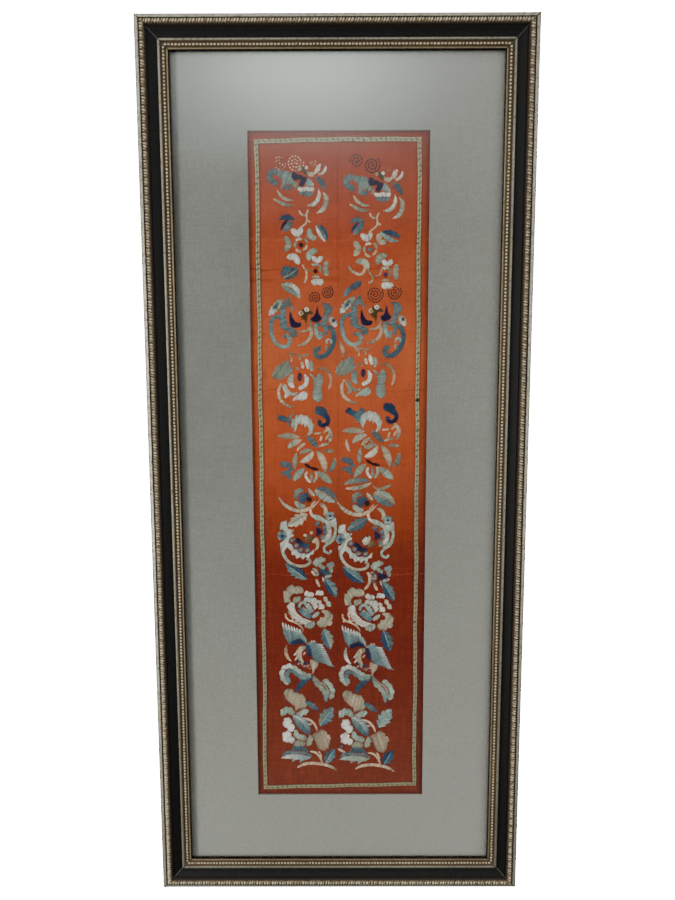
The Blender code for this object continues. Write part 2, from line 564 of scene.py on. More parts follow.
# %% Material: worn silver leaf on pressed relief
def make_leaf_finish(name, bed, crest, brightest):
    """Silver on the high parts and brown in the hollows: bed and crest are distances from the wall."""
    material, shader, place = new_material(name)
    depth = axes(place)[1]
    high = remap(depth, -bed * MM, -crest * MM)
    age = use_group(age_group, vector=place, spread=0.5, scale=420.0)
    worn_height = maths("SUBTRACT", high, age["Worn"] * 0.35, clamp=True)
    colour = ramp(worn_height, [(0.0, srgb(26, 17, 7)), (0.3, srgb(70, 54, 32)), (0.62, srgb(132, 116, 86)),
        (0.92, brightest)])
    connect(shader, base_color=colour)
    connect(shader, metallic=remap(worn_height, 0.3, 0.8, 0.0, 0.55))
    connect(shader, roughness=remap(worn_height, 0.0, 1.0, 0.75, 0.38))
    connect(shader, normal=bump(noise(place, 1500.0, 3.0), 0.1 * MM, 0.5))
    return material


ornament_finish = make_leaf_finish("pressed_leaf_ornament", 20.0, 23.2, srgb(220, 212, 188))
pearl_finish = make_leaf_finish("pearl_beading", 14.7, 16.4, srgb(208, 200, 176))

# %% Press the leaf ornament
LEAF_PITCH = 8.6
LEAF_STEPS = 14
ORNAMENT_STEPS = 10
ORNAMENT_FEET = (5.3, 12.0)
ORNAMENT_BED = 19.2
ORNAMENT_RISE = 4.2
ORNAMENT_THICKNESS = 0.6 * MM


def ornament_height(along, across):
    """Height of the pressed pattern above its bed; across runs from 0 to 1."""
    turn = along / LEAF_PITCH
    place_in_leaf = turn - math.floor(turn) - 0.5
    round_section = math.sin(math.pi * across) ** 0.8
    ribs = 0.5 + 0.5 * math.cos(2 * math.pi * (3 * place_in_leaf + 0.7 * across))
    nick = math.exp(-(((0.5 - abs(place_in_leaf)) / 0.045) ** 2))
    return ORNAMENT_RISE * round_section * (0.6 + 0.4 * ribs - 0.4 * nick)


def make_ornament(side, degrees, is_long):
    half_length, reach = side_sizes(is_long)
    inner, outer = ORNAMENT_FEET
    columns = int(2 * half_length / LEAF_PITCH * LEAF_STEPS)
    deselect()
    bpy.ops.mesh.primitive_grid_add(x_subdivisions=columns, y_subdivisions=ORNAMENT_STEPS, size=1.0)
    piece = start_piece("leaf_ornament_" + side)
    for point in piece.data.vertices:
        along = point.co.x * 2 * half_length
        across = point.co.y + 0.5
        outward = ORNAMENT_BED + ornament_height(along, across)
        point.co = (along * MM, -outward * MM, (reach - inner - (outer - inner) * across) * MM)
    bpy.ops.object.mode_set(mode="EDIT")
    point_outwards()
    if piece.data.polygons[len(piece.data.polygons) // 2].normal.y > 0:
        piece.data.flip_normals()
    add_modifier(piece, "SOLIDIFY", thickness=ORNAMENT_THICKNESS, offset=-1.0)
    cut_mitres(half_length, reach)
    turn_into_place(piece, degrees)
    smooth(piece, 60)
    return finish_piece(piece, ornament_finish)


for side, (degrees, is_long) in SIDES.items():
    make_ornament(side, degrees, is_long)

# %% String the pearls
PEARL_PITCH = 3.5
PEARL_RADIUS = 1.42
PEARL_INSET = 28.2
PEARL_OUTWARD = 15.1


def make_pearls(side, degrees, is_long):
    half_length, reach = side_sizes(is_long)
    half_run = half_length - PEARL_INSET - PEARL_RADIUS
    count = int(2 * half_run / PEARL_PITCH) + 1
    start = -(count - 1) * PEARL_PITCH / 2
    deselect()
    bpy.ops.mesh.primitive_uv_sphere_add(
        segments=8,
        ring_count=5,
        radius=PEARL_RADIUS * MM,
        location=(start * MM, -PEARL_OUTWARD * MM, (reach - PEARL_INSET) * MM),
        rotation=(0, math.pi / 2, 0),
        scale=(1, 1, 1.18),
    )
    piece = start_piece("pearl_beading_" + side)
    step = (PEARL_PITCH * MM, 0, 0)
    add_modifier(piece, "ARRAY", count=count, use_relative_offset=False, use_constant_offset=True,
                 constant_offset_displace=step)
    turn_into_place(piece, degrees)
    smooth(piece, 80)
    return finish_piece(piece, pearl_finish)


for side, (degrees, is_long) in SIDES.items():
    make_pearls(side, degrees, is_long)
print("moulding, ornament and pearls on", len(SIDES), "sides")

# %% [markdown]
# ## Mat and backing
#
# The mat is board wrapped in a grey, linen-like cloth, so its window has soft edges instead of a sharp
# white cut. A cube is inset front and back and bridged through to open the window, and the window's
# front rim is rounded with a bevel. The backing is brown board, which shows only from behind.


# %% Material: grey mat cloth
def make_mat_cloth():
    material, shader, place = new_material("grey_mat_cloth")
    weave = use_group(weave_group, vector=place, warp_pitch=0.62, weft_pitch=0.7)
    age = use_group(age_group, vector=place, spread=0.25, scale=300.0)
    slub = remap(weave["Slubs"], 0.34, 0.66)
    colour = blend(slub, srgb(123, 126, 120), srgb(139, 141, 134))
    toned = blend(age["Stain"] * 0.2, colour, srgb(104, 101, 90))
    parts = axes(place)
    # painted light: the mat is made lighter towards the bottom
    low = remap(parts[2], -0.45, -0.86)
    painted_light_low = blend(low * 0.6, toned, srgb(168, 168, 158))
    # painted light: the mat is made lighter towards its right side
    right_light_share = remap(parts[0], 0.02, 0.17)
    side_stain_and_painted_light = blend(right_light_share * 0.45, painted_light_low, srgb(166, 166, 157))
    # painted light: a soft pool of pale light high in the middle of the mat
    off_middle = (parts[0] + 0.035) / 0.112
    light_pool_spread = bell(off_middle)
    high = remap(parts[2], -0.135, -0.035)
    fade_and_painted_light_pool = blend(high * light_pool_spread * 0.9, side_stain_and_painted_light, srgb(184, 198, 187))
    flecked = blend(age["Worn"] * 0.2, fade_and_painted_light_pool, srgb(156, 158, 150))
    # painted shadow: a dark band on the mat along the frame's left lip, and a fainter one along the right
    lip_shadow_share = maths("MAXIMUM", remap(parts[0], -0.167, -0.16, 1.0, 0.0), remap(parts[0], 0.1645, 0.167, 0.0,
        0.6))
    painted_lip_shadow = blend(lip_shadow_share * 0.6, flecked, srgb(62, 64, 60))
    nubs = noise(place, 640.0, 3.0, 0.75)
    dark_nubs_and_painted_shade = lighter(remap(nubs, 0.34, 0.5, 0.55, 0.0), painted_lip_shadow, 0.8)
    raised = lighter(remap(nubs, 0.5, 0.66, 0.0, 0.55), dark_nubs_and_painted_shade, 1.22)
    connect(shader, base_color=raised, roughness=0.9)
    connect(shader, specular_ior_level=0.2)
    relief = weave["Height"] + weave["Slubs"] * 2.0
    connect(shader, normal=bump(relief, 0.06 * MM, 0.7))
    return material


mat_cloth = make_mat_cloth()

# %% Cut the mat
MAT_FRONT = 8.6
WINDOW_WIDTH = 185.0
WINDOW_HEIGHT = 717.0
WINDOW_SHIFT = (1.3, -0.6)
MAT_INSET = 70 * MM
RIM_ROUNDING = 0.55 * MM
mat_low, mat_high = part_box("mat_board")


def make_mat():
    middle = (mat_low + mat_high) / 2
    deselect()
    bpy.ops.mesh.primitive_cube_add(size=1.0, location=middle, scale=mat_high - mat_low)
    piece = start_piece("grey_mat")
    bpy.ops.object.mode_set(mode="EDIT")
    bpy.ops.mesh.select_mode(type="FACE")
    bpy.ops.mesh.select_all(action="DESELECT")
    bpy.ops.object.mode_set(mode="OBJECT")
    for face in piece.data.polygons:
        face.select = abs(face.normal.y) > 0.9
    bpy.ops.object.mode_set(mode="EDIT")
    bpy.ops.mesh.inset(thickness=MAT_INSET, use_individual=True)
    bpy.ops.object.mode_set(mode="OBJECT")
    shift_x, shift_z = WINDOW_SHIFT
    for point in piece.data.vertices:
        if point.select:
            side_x = math.copysign(WINDOW_WIDTH / 2, point.co.x)
            side_z = math.copysign(WINDOW_HEIGHT / 2, point.co.z - CENTRE_Z)
            point.co.x = (shift_x + side_x) * MM
            point.co.z = CENTRE_Z + (shift_z + side_z) * MM
    bpy.ops.object.mode_set(mode="EDIT")
    bpy.ops.mesh.bridge_edge_loops()
    bpy.ops.mesh.select_mode(type="EDGE")
    bpy.ops.mesh.select_all(action="DESELECT")
    bpy.ops.object.mode_set(mode="OBJECT")
    points = piece.data.vertices
    for edge in piece.data.edges:
        ends = [points[number].co for number in edge.vertices]
        inside = all(abs(end.x) < WINDOW_WIDTH * 0.65 * MM for end in ends)
        edge.select = inside and all(end.y < -(MAT_FRONT - 0.1) * MM for end in ends)
    bpy.ops.object.mode_set(mode="EDIT")
    bpy.ops.mesh.bevel(offset=RIM_ROUNDING, segments=4, profile=0.5)
    point_outwards()
    smooth(piece, 30)
    return finish_piece(piece, mat_cloth, ["mat_board"])


grey_mat = make_mat()
print("mat window", WINDOW_WIDTH, "by", WINDOW_HEIGHT, "mm,", len(grey_mat.data.polygons), "faces")


# %% Material: brown backing board
def make_backing_board():
    material, shader, place = new_material("brown_backing_board")
    fibres = noise(stretched(place, (900, 1, 140)), 1.0, 4.0, 0.7)
    age = use_group(age_group, vector=place, spread=0.4, scale=60.0)
    colour = blend(fibres, srgb(146, 110, 74), srgb(178, 142, 102))
    spotted = blend(age["Worn"] * 0.45, colour, srgb(110, 82, 54))
    stained = blend(age["Stain"] * 0.3, spotted, srgb(120, 88, 58))
    connect(shader, base_color=stained, roughness=0.88)
    connect(shader, normal=bump(fibres, 0.1 * MM, 0.5))
    return material


def dress(node_name, material):
    """Give a carried-over piece of the frame its material."""
    node = bpy.data.objects[node_name]
    node.data.materials.clear()
    node.data.materials.append(material)


dress("backing_board", make_backing_board())

# %% [markdown]
# ## Silk bands
#
# The ground is a bright orange-red silk, faded in places, with old fold lines across it. Each band is a
# fine grid with its folds pressed in and a few soft puckers, given its thickness by Solidify. The two
# bands meet at the seam down the middle. The finish has the thin ribs of plain silk, thicker threads
# here and there, painted light and shade that change with height and along the creases, and a painted
# shadow against the mat's edge.


# %% Material: orange-red silk
# painted shade and painted highlights along the old creases
PAINTED_CREASE_LIGHT = (
    # height above the middle and half width in millimetres, strength, tone
    (222.0, 0.8, 0.5, srgb(80, 20, 6)), (212.0, 2.2, 0.3, srgb(96, 30, 10)),
    (251.0, 1.0, 0.25, srgb(222, 120, 72)), (158.0, 0.6, 0.3, srgb(90, 26, 8)),
    (96.0, 1.0, 0.3, srgb(100, 30, 10)), (22.0, 0.6, 0.3, srgb(216, 108, 62)),
    (-104.0, 0.6, 0.35, srgb(186, 84, 48)), (-152.0, 0.5, 0.4, srgb(190, 90, 56)),
    (-170.0, 0.8, 0.3, srgb(70, 14, 2)),
)


def make_silk():
    material, shader, place = new_material("orange_red_silk")
    weave = use_group(weave_group, vector=place, warp_pitch=0.42, weft_pitch=0.5)
    age = use_group(age_group, vector=place, spread=0.3, scale=160.0)
    parts = axes(place)
    height = parts[2] - CENTRE_Z
    share = remap(height, -0.37, 0.37)
    # painted light and shade: the silk's colour changes with height, brightest above the middle, darkest in
    # the lower half and duller at both ends
    silk_with_painted_height_light = ramp(share, [(0.0, srgb(108, 51, 40)), (0.08, srgb(106, 44, 29)), (0.227, srgb(94, 12, 0)),
        (0.373, srgb(103, 17, 0)), (0.45, srgb(142, 55, 20)), (0.54, srgb(178, 81, 44)),
        (0.69, srgb(194, 97, 57)), (0.83, srgb(171, 79, 48)), (0.92, srgb(150, 68, 42)),
        (1.0, srgb(134, 60, 42))])
    slub = remap(weave["Slubs"], 0.36, 0.64)
    light_rib = blend(0.5, silk_with_painted_height_light, srgb(206, 92, 40))
    fine = blend(slub * 0.34, silk_with_painted_height_light, light_rib)
    weft = noise(stretched(place, (90.0, 90.0, 760.0)), 1.0, 3.0, 0.7)
    warp = noise(stretched(place, (760.0, 90.0, 60.0)), 1.0, 2.0, 0.6)
    thick = weft * 0.55 + warp * 0.45
    thinned = blend(remap(thick, 0.5, 0.64, 0.0, 0.24), fine, light_rib)
    ribbed = blend(remap(thick, 0.36, 0.5, 0.27, 0.0), thinned, srgb(90, 24, 4))
    clouds = remap(noise(place, 28.0, 4.0, 0.6), 0.35, 0.65)
    cloudy = blend(clouds * 0.2, ribbed, srgb(96, 26, 8))
    fade_and_painted_light_pool = blend(age["Worn"] * 0.12, cloudy, srgb(178, 86, 46))
    # painted shadow: the silk outside the ribbon is made darker, darkest against the mat's edge
    from_side = abs(parts[0] - 0.0002)
    mat_shadow_share = maths("MAXIMUM", remap(from_side, 0.0855, 0.0935), remap(abs(height + 0.0008), 0.3515, 0.3595))
    painted_mat_shadow = blend(mat_shadow_share * 0.6, fade_and_painted_light_pool, srgb(60, 16, 8))
    # old creases with painted shade and highlights: dark lines for the shade in the folds, pale lines for the
    # light on them
    wander = noise(place, 22.0, 2.0, 0.5) * 0.014
    crossing = height + wander
    comes_and_goes = remap(noise(place, 17.0, 2.0, 0.5), 0.44, 0.6)
    painted_crease_light_and_shade = painted_mat_shadow
    for crease_height, half_width, strength, tone in PAINTED_CREASE_LIGHT:
        off = (crossing - (crease_height + 7) * MM) / (half_width * MM)
        line = bell(off)
        kept = line * comes_and_goes
        painted_crease_light_and_shade = blend(kept * strength, painted_crease_light_and_shade, tone)
    connect(shader, base_color=painted_crease_light_and_shade, roughness=0.62)
    connect(shader, specular_ior_level=0.06)
    relief = weave["Height"] + weave["Slubs"] * 1.5
    connect(shader, normal=bump(relief, 0.05 * MM, 0.6))
    return material


silk_finish = make_silk()

# %% Lay the two silk bands
SILK_FRONT = 6.1
SILK_THICKNESS = 0.5 * MM
BAND_WIDTH = 102.35
BAND_HEIGHT = 737.0
SILK_SHIFT_Z = -0.6
FOLDS = (
    # height of each fold above the middle, its half width and its depth, in millimetres
    (251.0, 3.0, 0.28), (222.0, 3.2, 0.26), (-31.0, 2.6, 0.22), (-150.0, 2.6, 0.2),
)


def silk_front(across, up):
    """Distance of the silk's front from the wall in millimetres, for whole arrays of places."""
    depth = np.zeros_like(across)
    for fold_height, half_width, fold_depth in FOLDS:
        bend = fold_height + 1.2 * np.sin(across * 0.05 + fold_height)
        depth += fold_depth * np.exp(-(((up - bend) / half_width) ** 2))
    pucker = 0.5 + 0.5 * np.sin(0.11 * across + 0.8 * np.sin(0.045 * up)) * np.sin(0.072 * up + 1.3)
    return SILK_FRONT - np.minimum(depth + 0.12 * pucker, 0.4)


def make_band(name, left, node_name):
    deselect()
    bpy.ops.mesh.primitive_grid_add(x_subdivisions=30, y_subdivisions=370, size=1.0)
    piece = start_piece(name)
    flat = np.array([point.co for point in piece.data.vertices], dtype=float)
    across = left + (flat[:, 0] + 0.5) * BAND_WIDTH
    up = SILK_SHIFT_Z + flat[:, 1] * BAND_HEIGHT
    front = silk_front(across, up)
    for number, point in enumerate(piece.data.vertices):
        point.co = (across[number] * MM, -front[number] * MM, CENTRE_Z + up[number] * MM)
    if piece.data.polygons[0].normal.y > 0:
        piece.data.flip_normals()
    add_modifier(piece, "SOLIDIFY", thickness=SILK_THICKNESS, offset=-1.0)
    smooth(piece, 40)
    finish_piece(piece, silk_finish, [node_name])
    return piece


silk_left, silk_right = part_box("silk_band_left"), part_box("silk_band_right")
band_left = make_band("silk_band_west", silk_left[0].x / MM, "silk_band_left")
band_right = make_band("silk_band_east", silk_right[0].x / MM, "silk_band_right")
print("silk bands", len(band_left.data.polygons) + len(band_right.data.polygons), "faces")

# %% [markdown]
# ## Woven ribbon
#
# A narrow ribbon with a small sage-green wave and dark dots covers the raw edge of the silk. Its four
# strips are mitred like the frame, so they use the same way of making: a section along the top, cut at
# the corners and turned into place, with a map that runs along the ribbon to carry its pattern.


# %% Material: woven ribbon
RIBBON_DAMAGE = (
    # place from the middle and radius of each mark in millimetres, its strength and tone
    (83.8, 85.8, 2.6, 1.0, srgb(14, 6, 4)), (86.0, 86.4, 2.0, 1.0, srgb(14, 6, 4)),
    (84.2, 54.0, 2.8, 0.6, srgb(70, 44, 22)), (84.4, 47.5, 1.8, 0.5, srgb(70, 44, 22)),
    (83.2, -157.0, 1.6, 0.7, srgb(52, 34, 18)), (-83.8, 247.0, 1.8, 0.5, srgb(60, 44, 24)),
)


def make_ribbon_finish():
    material, shader, place = new_material("woven_ribbon")
    run = run_coordinates(place)
    parts = axes(run)
    wander = (noise(place, 60.0, 2.0) - 0.5) * 1.3
    along = parts[0] / (5.4 * MM) + wander
    across = parts[1] / (4.8 * MM)
    turn = along * (2 * math.pi)
    wave = maths("SINE", turn) * 0.1
    from_wave = abs(across - (wave + 0.5))
    vine = remap(from_wave, 0.08, 0.3, 1.0, 0.0)
    beat = maths("COSINE", turn)
    dot_wide = remap(beat, 0.2, 0.8)
    from_middle = abs(across - noise(place, 170.0, 1.0) * 1.04)
    dot = dot_wide * remap(from_middle, 0.14, 0.3, 1.0, 0.0)
    mottle = noise(place, 900.0, 3.0)
    cream = blend(mottle, srgb(156, 150, 110), srgb(216, 212, 170))
    sage = blend(vine * 0.8, cream, srgb(126, 128, 90))
    pattern = blend(dot * remap(mottle, 0.36, 0.52, 0.35, 1.0), sage, srgb(44, 50, 36))
    places = axes(place)
    # the ribbon is made darker towards the bottom
    low = remap(places[2] - CENTRE_Z, 0.04, -0.16)
    pattern = blend(low * 0.42, pattern, srgb(112, 100, 70))
    frayed = mottle * 0.1
    edge = remap(abs(across - 0.5) + frayed, 0.4, 0.47)
    edged = blend(edge * 0.9, pattern, srgb(50, 38, 22))
    aged = use_group(age_group, vector=place, spread=0.2, scale=90.0)
    worn = blend(aged["Stain"] * 0.25, edged, srgb(120, 104, 66))
    ragged = noise(place, 700.0, 2.0) * 0.9
    for right, up, radius, strength, tone in RIBBON_DAMAGE:
        off_x = (places[0] - right * MM) / (radius * MM)
        off_z = (places[2] - (CENTRE_Z + up * MM)) / (radius * MM)
        squared = off_x * off_x + off_z * off_z
        mark = remap(maths("SQRT", squared) + ragged, 1.1, 1.4, strength, 0.0)
        worn = blend(mark, worn, tone)
    connect(shader, base_color=worn)
    connect(shader, roughness=0.8, sheen_weight=0.1)
    cords = maths("SINE", parts[0] * (2 * math.pi / (0.55 * MM)))
    connect(shader, normal=bump(cords + vine * 2.0, 0.07 * MM, 0.7))
    return material


ribbon_finish = make_ribbon_finish()

# %% Lay the four ribbon strips
RIBBON_OUTER = (172.0, 703.0)
RIBBON_SHIFT = (0.2, -0.8)
RIBBON_STEP = 9.0
RIBBON_RISE = 4.0
RIBBON_SECTION = (
    # distance in from the ribbon's outer edge, distance out from the wall
    (0.0, 6.45), (0.0, 6.75), (0.25, 6.95), (0.7, 7.0), (2.0, 7.25), (2.8, 7.25), (4.1, 7.0), (4.55, 6.95),
    (4.8, 6.75), (4.8, 6.45),
)


def sewn_place(point):
    """Where a point of the ribbon lies once it is sewn by hand: a little off the straight."""
    across, up = point.x / MM, (point.z - CENTRE_Z) / MM
    to_left = np.clip((86 - across) / 172, 0, 1)
    at_top, at_foot = np.clip((up - 300) / 50, 0, 1), np.clip((-300 - up) / 50, 0, 1)
    left_lean = 1.1 * np.clip((up + 330) / 130, 0, 1)
    right_lean = 0.2 - 0.7 * up / 350
    waver = 0.3 * math.sin(up / 21) + 0.15 * math.sin(up / 8)
    sideways = to_left * left_lean + (1 - to_left) * right_lean + waver
    arch = 2.2 * math.sin(math.pi / 2 * np.clip((across + 86) / 100, 0, 1)) - 0.8
    top_rise = arch + 0.2 * math.sin(across / 7)
    foot_rise = RIBBON_RISE * (1 - to_left) - 1.0 + 0.25 * math.sin(across / 9)
    upward = at_top * top_rise + at_foot * foot_rise
    return Vector((point.x + sideways * MM, point.y, point.z + upward * MM))


def make_ribbon(side, degrees, is_long):
    width, height = RIBBON_OUTER
    half_length, reach = (height / 2, width / 2) if is_long else (width / 2, height / 2)
    steps = round(2 * half_length / RIBBON_STEP)
    piece = extrude_section("ribbon_" + side, RIBBON_SECTION, half_length, reach, steps)
    turn_into_place(piece, degrees)
    shift_x, shift_z = RIBBON_SHIFT
    piece.data.transform(Matrix.Translation((shift_x * MM, 0, shift_z * MM)))
    for point in piece.data.vertices:
        point.co = sewn_place(point.co)
    smooth(piece, 50)
    return finish_piece(piece, ribbon_finish, ["ribbon_trim_" + side])


for side, (degrees, is_long) in SIDES.items():
    make_ribbon(side, degrees, is_long)

# %% [markdown]
# ## Glass
#
# The glass is two millimetres of clear sheet. It is made as a thin mirror that shows itself only as
# much as real glass reflects: a little when seen straight on and more at a glancing angle. What lies
# behind it keeps its full light and colour.


# %% Material: clear glass
GLASS_BENDING = 1.5


def make_glass():
    material, shader, place = new_material("clear_glass")
    leaving = add_node("NewGeometry", {}, place.tree)["Backfacing"]
    bending = remap(leaving, 0.0, 1.0, GLASS_BENDING, 1 / GLASS_BENDING)
    reflection = add_node("Fresnel", {"IOR": bending})[0]
    connect(shader, base_color=(1.0, 1.0, 1.0, 1.0), metallic=1.0, roughness=0.03)
    connect(shader, alpha=reflection)
    return material


dress("glazing", make_glass())

# %% [markdown]
# ## Stitches
#
# The embroidery is satin stitch: floss laid side by side from one edge of a shape to the other, with a
# sliver of bare silk left between shapes. Each thread here is a thin raised strip of its own, sunk a
# little into the silk, so light catches it as it does real floss. Shapes are drawn on the cloth in
# millimetres from the middle of the picture: across, then up. A work is the list of threads laid so far.

# %% Floss colours
FLOSS = {
    "white": (238, 242, 230), "pearl": (186, 208, 194), "sage": (168, 178, 158),
    "steel": (106, 132, 136), "mist": (132, 162, 164), "blue": (76, 116, 136),
    "royal": (32, 80, 118), "navy": (8, 20, 78), "violet": (62, 66, 116),
    "cream": (222, 208, 180), "pink": (232, 200, 174), "beige": (170, 166, 142),
    "tan": (156, 128, 98), "olive": (100, 90, 46), "purple": (36, 6, 30), "brown": (34, 12, 6),
}
FLOSS_LIGHT = {name: np.array(srgb(*colour)[:3]) for name, colour in FLOSS.items()}


def floss(tones, share):
    """A colour part of the way along a row of named tones."""
    names = tones.split()
    spot = min(max(share, 0.0), 1.0) * (len(names) - 1)
    first = min(int(spot), len(names) - 1)
    second = min(first + 1, len(names) - 1)
    return FLOSS_LIGHT[names[first]] * (1 - spot + first) + FLOSS_LIGHT[names[second]] * (spot - first)


# %% Lines to stitch along
def smooth_path(points, closed=False, steps=8):
    """A smooth line through a few points."""
    spots = [np.array(point, dtype=float) for point in points]
    count = len(spots)
    spans = count if closed else count - 1
    path = []
    for span in range(spans):
        near = [spots[(span + step) % count] if closed else spots[min(max(span + step, 0), count - 1)]
                for step in (-1, 0, 1, 2)]
        before, start, end, after = near
        for step in range(steps):
            t = step / steps
            path.append(0.5 * (2 * start + (end - before) * t
                               + (2 * before - 5 * start + 4 * end - after) * t * t
                               + (3 * start - before - 3 * end + after) * t ** 3))
    if not closed:
        path.append(spots[-1])
    return np.array(path)


def arc_path(start, end, bend, count=24):
    """A bowed line between two points; a positive bend bows it to the left of its direction."""
    start, end = np.array(start, dtype=float), np.array(end, dtype=float)
    reach = end - start
    left = np.array([-reach[1], reach[0]]) / max(np.hypot(*reach), 0.01)
    t = np.linspace(0, 1, count)[:, None]
    return start + reach * t + left * bend * 4 * t * (1 - t)


def spiral_path(centre, first_radius, last_radius, first_angle, last_angle, count=40):
    """A coil about a centre, angles in degrees."""
    angle = np.radians(np.linspace(first_angle, last_angle, count))
    radius = np.linspace(first_radius, last_radius, count)
    return np.stack([centre[0] + radius * np.cos(angle), centre[1] + radius * np.sin(angle)], axis=1)


def lobed(points):
    """A clockwise outline; a point's third number is how far the side after it bulges outward."""
    outline = []
    for number, point in enumerate(points):
        following = points[(number + 1) % len(points)]
        bulge = point[2] if len(point) > 2 else 0.0
        outline.extend(arc_path(point[:2], following[:2], 1.35 * bulge, 9)[:-1] if bulge else [point[:2]])
    return outline


def path_length(path):
    return float(np.hypot(*np.diff(path, axis=0).T).sum())


def sample(path, shares):
    """Points at given shares of a path's length."""
    steps = np.hypot(*np.diff(path, axis=0).T)
    run = np.concatenate([[0.0], np.cumsum(steps)])
    run = run / max(run[-1], 1e-6)
    return np.stack([np.interp(shares, run, path[:, 0]), np.interp(shares, run, path[:, 1])], axis=1)


def both_edges(path, half_widths):
    """The two edges of a band of changing width along a path."""
    ahead = np.gradient(path, axis=0)
    ahead = ahead / np.maximum(np.hypot(ahead[:, 0], ahead[:, 1]), 1e-6)[:, None]
    left = np.stack([-ahead[:, 1], ahead[:, 0]], axis=1)
    return path + left * half_widths[:, None], path - left * half_widths[:, None]


# %% Satin stitch
THREAD_PITCH = 0.44
THREAD_WIDTH = THREAD_PITCH * 1.25
SHORTEST_THREAD = 0.4
STROKE_STEPS = 90
SHADE_SPREAD = 0.09
BUNDLE_SPREAD = 0.14
BUNDLE_THREADS = 3
OVER_LIFT = 0.14


def thread_shade(work, number):
    """How light one thread is: a few threads beside each other come from one strand and share its shade."""
    if number % BUNDLE_THREADS == 0:
        work["bundle"] = work["dice"].gauss(0, BUNDLE_SPREAD)
    return 1 + work["bundle"] + work["dice"].gauss(0, SHADE_SPREAD)


def satin(work, first, second, tones, far=None, slant=0.0):
    """Fill between two edges with threads; tones run along the edges, far ones are at the second edge."""
    length = max(path_length(first), path_length(second)) * 0.5 + path_length((first + second) / 2) * 0.5
    count = max(2, round(length / THREAD_PITCH))
    shares = (np.arange(count) + 0.5) / count
    starts = sample(first, np.clip(shares + slant / 2, 0, 1))
    ends = sample(second, np.clip(shares - slant / 2, 0, 1))
    for number, (share, start, end) in enumerate(zip(shares, starts, ends)):
        depth = thread_shade(work, number)
        near_tone = floss(tones, share + work["dice"].gauss(0, 0.05)) * depth
        far_tone = floss(far or tones, share + work["dice"].gauss(0, 0.05)) * depth
        work["threads"].append((start, end, near_tone, far_tone, THREAD_WIDTH, work["lift"]))


def blade(work, start, end, width, tones, bend=0.0, fullness=0.75, far=None, slant=0.06, split=None, teeth=0):
    """A leaf or pointed petal between two tips; split gives each half its own tones, teeth notch its edge."""
    path = arc_path(start, end, bend, 24 + 12 * teeth)
    t = np.linspace(0, 1, len(path))
    half = width / 2 * np.sin(np.pi * np.clip(t, 0.004, 0.996)) ** fullness
    if teeth:
        half = half * (0.74 + 0.42 * (t * teeth % 1.0))
    left, right = both_edges(path, half)
    if split is None:
        satin(work, left, right, tones, far, slant)
        return
    other = min(0.2 * width, 0.25)
    middle_left, middle_right = both_edges(path, np.full(len(path), other / 2) * np.sin(np.pi * t))
    satin(work, middle_left, left, tones, far, -0.12)
    satin(work, middle_right, right, split, far, -0.12)


def leaf(work, base, tip, width, left_tones, right_tones, bend=0.0, teeth=4, vein="pearl", fullness=0.7):
    """A saw-edged leaf: two halves of slanted stitches with a pale vein between them."""
    blade(work, base, tip, width, left_tones, bend, fullness, None, 0.06, right_tones, teeth)
    stroke(work, arc_path(base, tip, bend, 24), 0.9, vein, 0.6, 0.2)


def petal(work, centre, facing, across, deep, tones, notch=0.3, far=None, curve=-0.1):
    """A rounded petal that faces the given way in degrees, with a notch in its outer edge."""
    s = np.linspace(-0.985, 0.985, 29)
    outward = np.array([math.cos(math.radians(facing)), math.sin(math.radians(facing))])
    sideways = np.array([-outward[1], outward[0]])
    round_edge = (1 - np.abs(s) ** 2.3) ** (1 / 2.3)
    sag = curve * deep * s ** 2
    inner = -deep / 2 * round_edge - sag
    outer = deep / 2 * round_edge - sag - notch * deep * np.exp(-((s / 0.24) ** 2))
    base = np.array(centre, dtype=float)
    points = base + sideways * (s * across / 2)[:, None]
    satin(work, points + outward * inner[:, None], points + outward * outer[:, None], tones, far)


def stroke(work, points, width, tones, start=0.35, end=0.35, far=None, slant_mm=0.9, lobes=0):
    """A stem or curl of short slanted stitches; lobes scallop its left edge, or its right if negative."""
    path = points if isinstance(points, np.ndarray) else smooth_path(points)
    t = np.linspace(0, 1, STROKE_STEPS)
    path = sample(path, t)
    half = width / 2 * np.minimum(1, np.minimum(start + t * 4, end + (1 - t) * 4))
    swell = 1 + 0.55 * np.abs(np.sin(math.pi * lobes * t))
    left = both_edges(path, half * swell if lobes > 0 else half)[0]
    right = both_edges(path, half * swell if lobes < 0 else half)[1]
    satin(work, left, right, tones, far, slant_mm / max(path_length(path), 1))


def patch(work, outline, angle, tones, far=None, rounded=True):
    """Fill a free shape with parallel threads that lie at the given angle."""
    edge = smooth_path(outline, closed=True, steps=5) if rounded else np.array(outline, dtype=float)
    turn = math.radians(angle)
    along = np.array([math.cos(turn), math.sin(turn)])
    across = np.array([-along[1], along[0]])
    u, v = edge @ along, edge @ across
    next_u, next_v = np.roll(u, -1), np.roll(v, -1)
    rows = max(2, round((v.max() - v.min()) / THREAD_PITCH))
    for row in range(rows):
        share = (row + 0.5) / rows
        level = v.min() + (v.max() - v.min()) * share
        crossing = (v - level) * (next_v - level) < 0
        hits = u[crossing] + (level - v[crossing]) / (next_v[crossing] - v[crossing]) * (next_u - u)[crossing]
        hits.sort()
        depth = thread_shade(work, row)
        for low, high in zip(hits[::2], hits[1::2]):
            if high - low > SHORTEST_THREAD:
                ends = (along * low + across * level, along * high + across * level)
                near_tone = floss(tones, share) * depth
                far_tone = floss(far or tones, share) * depth
                work["threads"].append((*ends, near_tone, far_tone, THREAD_WIDTH, work["lift"]))


def over(work, draw, *details):
    """Work one shape on top of the stitches that are already there."""
    work["lift"] = OVER_LIFT
    draw(work, *details)
    work["lift"] = 0.0


